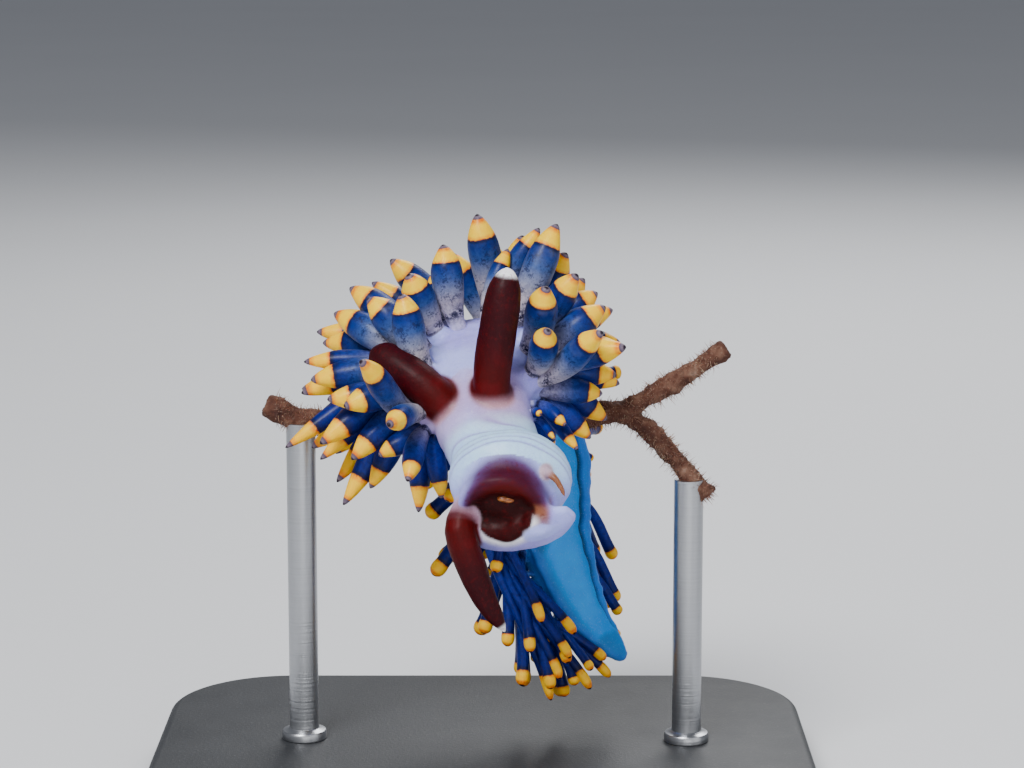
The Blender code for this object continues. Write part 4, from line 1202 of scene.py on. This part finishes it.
# Perch: a cut length of brown hydroid stem with its fork, knobbly and furred with short growth.
# It keeps the frame's route and thickness; the fur is one mesh of fine bent hairs set in its bark.
PERCH_BARK = (0.085, 0.030, 0.018)
PERCH_VOXEL = 0.085
SIDE_BRANCH = 0.82
HAIR_TRIES = 4200
HAIR_LONG = (0.08, 0.30)
HAIR_THICK = (0.010, 0.022)
HAIR_SET = 0.03
HAIR_BEND = 0.55
GRIP_MIDDLE = -1.0
GRIP_HALF = 3.2
FURRED = (-9.6, 8.3)


def stem_form(number, run):
    centres = through(run, 10)
    thin = 1 if number == 0 else SIDE_BRANCH
    place = np.linspace(0, len(run) - 1, len(centres)) * 3
    radii = STEM_RADIUS * thin * (0.92 + 0.10 * np.sin(2.1 * place + number))
    seed = Vector((number * 3.7, 1.1, 5.2))
    return tube(centres, radii, 24, swell=lambda p: 0.20 * noise.noise(Vector(p) * 1.6 + seed)
                + 0.16 * noise.noise(Vector(p) * 4.2 + seed))


perch = joined("perch", [stem_form(number, run) for number, run in enumerate(STEM_RUNS)])
fuse(perch, PERCH_VOXEL)
perch_points, perch_edges = read_mesh(perch)
perch_points = relaxed(perch_points, perch_edges, 0.8, 3)
perch_out = read_normals(perch)
grit = lumps(perch_points, 3.4, 12)
swelling = 0.13 * np.clip(lumps(perch_points, 1.2, 14), 0, 1) + 0.07 * grit
perch_points = perch_points + perch_out * (swelling + 0.06 * np.abs(lumps(perch_points, 7.0, 13)))[:, None]
write_points(perch, perch_points)

hairs = bmesh.new()
hair_template = bmesh.new()
bmesh.ops.create_cone(hair_template, cap_ends=True, segments=4, radius1=1.0, radius2=0.15, depth=1)
bmesh.ops.translate(hair_template, vec=(0, 0, 0.5), verts=hair_template.verts)
upright = [e for e in hair_template.edges if abs(e.verts[0].co.z - e.verts[1].co.z) > 0.5]
bmesh.ops.subdivide_edges(hair_template, edges=upright, cuts=2)
hair_mesh = bpy.data.meshes.new("hair")
hair_template.to_mesh(hair_mesh)
hair_template.free()
draw = random.Random(5)
for _ in range(HAIR_TRIES):
    pick = draw.randrange(len(perch_points))
    root, out = Vector(perch_points[pick]), Vector(perch_out[pick])
    if abs(root.x - GRIP_MIDDLE) < GRIP_HALF or not FURRED[0] <= root.x <= FURRED[1]:
        continue
    hairs.from_mesh(hair_mesh)
    hairs.verts.ensure_lookup_table()
    fresh = hairs.verts[-len(hair_mesh.vertices):]
    lean = Vector((draw.uniform(-1, 1), draw.uniform(-1, 1), draw.uniform(-1.1, 0.7)))
    length, thick = draw.uniform(*HAIR_LONG), draw.uniform(*HAIR_THICK)
    turn = out.to_track_quat("Z", "X").to_matrix()
    for v in fresh:
        high = v.co.z
        v.co = root - out * HAIR_SET + turn @ Vector((v.co.x * thick, v.co.y * thick, high * length))
        v.co += lean * length * HAIR_BEND * high * high
fur = to_mesh_object("perch_fur", hairs)

bark = Finish("hydroid_bark", Roughness=0.85, Specular_IOR_Level=0.3)
bark_clouds = bark.noise(1.6, detail=5, rough=0.6)
bark_grit = bark.noise(9, detail=4, rough=0.7)
bark_colour = bark.ramp(bark_clouds, ((0.25, (0.035, 0.012, 0.010)), (0.48, PERCH_BARK),
                                      (0.66, (0.17, 0.085, 0.055)), (0.80, (0.30, 0.20, 0.15))))
bark_colour = bark.mix(bark_grit.between(0.55, 0.72) * 0.5, bark_colour, (0.36, 0.27, 0.20))
bark.set(Base_Color=bark_colour, Roughness=0.70 + bark_grit * 0.28)
bark.bump(bark_grit * 0.6 + bark.cells(5) * 0.4, 0.09)
dress(perch, bark)
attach(perch, "root")
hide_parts("perch_stem")

fur_finish = Finish("perch_growth", Roughness=0.8, Subsurface_Weight=0.2, Subsurface_Scale=0.1 * MM)
fur_tone = fur_finish.noise(1.3, detail=2)
fur_finish.set(Base_Color=fur_finish.ramp(fur_tone, (
    (0.30, (0.10, 0.045, 0.03)), (0.52, (0.24, 0.13, 0.085)), (0.72, (0.42, 0.31, 0.22)))))
fur_finish.bump(fur_finish.noise(22), 0.01)
dress(fur, fur_finish)
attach(fur, "root")


# Stand rods: two turned steel rods, each with a collar on the base and a hollowed top that the stem lies in.
# Their grain runs round them, from the lathe.
ROD_COLLAR = ((0.00, 0.86), (0.03, 0.92), (0.30, 0.92), (0.36, 0.88), (0.40, 0.68), (0.46, 0.61),
              (0.60, 0.60))
ROD_RINGS = 12
SHANK_FROM = 1.2
SEAT_SUNK = 0.1
SADDLE = 0.92
SADDLE_REACH = 6
CRISP = math.radians(35)
BASE_SIZE = (27.0, 21.0, 2.0)
BASE_TOP = BASE_SIZE[2] - HANG_POINT[2]
steel = Finish("turned_steel", Metallic=1.0, Specular_IOR_Level=0.5)
turning = steel.noise(0.8, detail=3, stretch=(0.15, 0.15, 14))
smudges = steel.noise(0.9, detail=3)
steel.set(Base_Color=steel.mix(turning, (0.36, 0.37, 0.39), (0.50, 0.51, 0.53)),
          Roughness=0.22 + turning * 0.16 + smudges * 0.10)
steel.bump(turning, 0.012)
perch_line = np.vstack([through(STEM_RUNS[0], 12), through(STEM_RUNS[2], 12)])
for name, along_x in zip(("stand_rod_left", "stand_rod_right"), ROD_ALONG):
    nearest_step = int(np.abs(perch_line[:, 0] - along_x).argmin())
    seat = perch_line[nearest_step]
    heights = [BASE_TOP + high for high, _ in ROD_COLLAR]
    heights += list(np.linspace(BASE_TOP + SHANK_FROM, seat[2] - SEAT_SUNK, ROD_RINGS))
    radii = [thick for _, thick in ROD_COLLAR] + [ROD_RADIUS] * ROD_RINGS
    rod = to_mesh_object(name + "_turned", tube([(along_x, seat[1], high) for high in heights], radii, 48))
    nearby = perch_line[max(nearest_step - SADDLE_REACH, 0):nearest_step + SADDLE_REACH + 1]
    cut(rod, tube(nearby, [STEM_RADIUS * SADDLE] * len(nearby), 32))
    dress(rod, steel)
    rod.data.set_sharp_from_angle(angle=CRISP)
    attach(rod, "root")
    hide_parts(name)


# Stand base: a flat slab of fine matte dark composite, faintly clouded, its corners and top edge rounded. It
# stands on its own flat underside, and the rods' collars rest on it.
BASE_CORNER = 5.0
BASE_EDGE = 0.4
slab = bmesh.new()
bmesh.ops.create_cube(slab, size=1)
bmesh.ops.scale(slab, vec=BASE_SIZE, verts=slab.verts)
bmesh.ops.translate(slab, vec=Vector((0, 0, BASE_SIZE[2] / 2)) - Vector(HANG_POINT), verts=slab.verts)
upright = [e for e in slab.edges if abs(e.verts[0].co.z - e.verts[1].co.z) > 1]
bmesh.ops.bevel(slab, geom=upright, offset=BASE_CORNER, segments=24, profile=0.5, affect="EDGES",
                material=-1)
rim = [e for e in slab.edges if all(v.co.z > BASE_TOP - 0.1 for v in e.verts)
       and len({f.normal.z > 0.5 for f in e.link_faces}) == 2]
bmesh.ops.bevel(slab, geom=rim, offset=BASE_EDGE, segments=6, profile=0.5, affect="EDGES", material=-1)
base = to_mesh_object("stand_base_slab", slab)
composite = Finish("dark_composite", Specular_IOR_Level=0.4)
dust = composite.noise(0.5, detail=6, rough=0.6)
speckle = composite.noise(7, detail=2)
base_colour = composite.mix(dust, (0.016, 0.018, 0.021), (0.034, 0.036, 0.040))
base_colour = composite.mix(speckle.between(0.62, 0.72) * 0.35, base_colour, (0.12, 0.125, 0.13))
composite.set(Base_Color=base_colour, Roughness=0.42 + dust * 0.22)
composite.bump(speckle * 0.6 + composite.noise(20) * 0.4, 0.02)
dress(base, composite)
base.data.set_sharp_from_angle(angle=CRISP)
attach(base, "root")
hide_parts("stand_base")
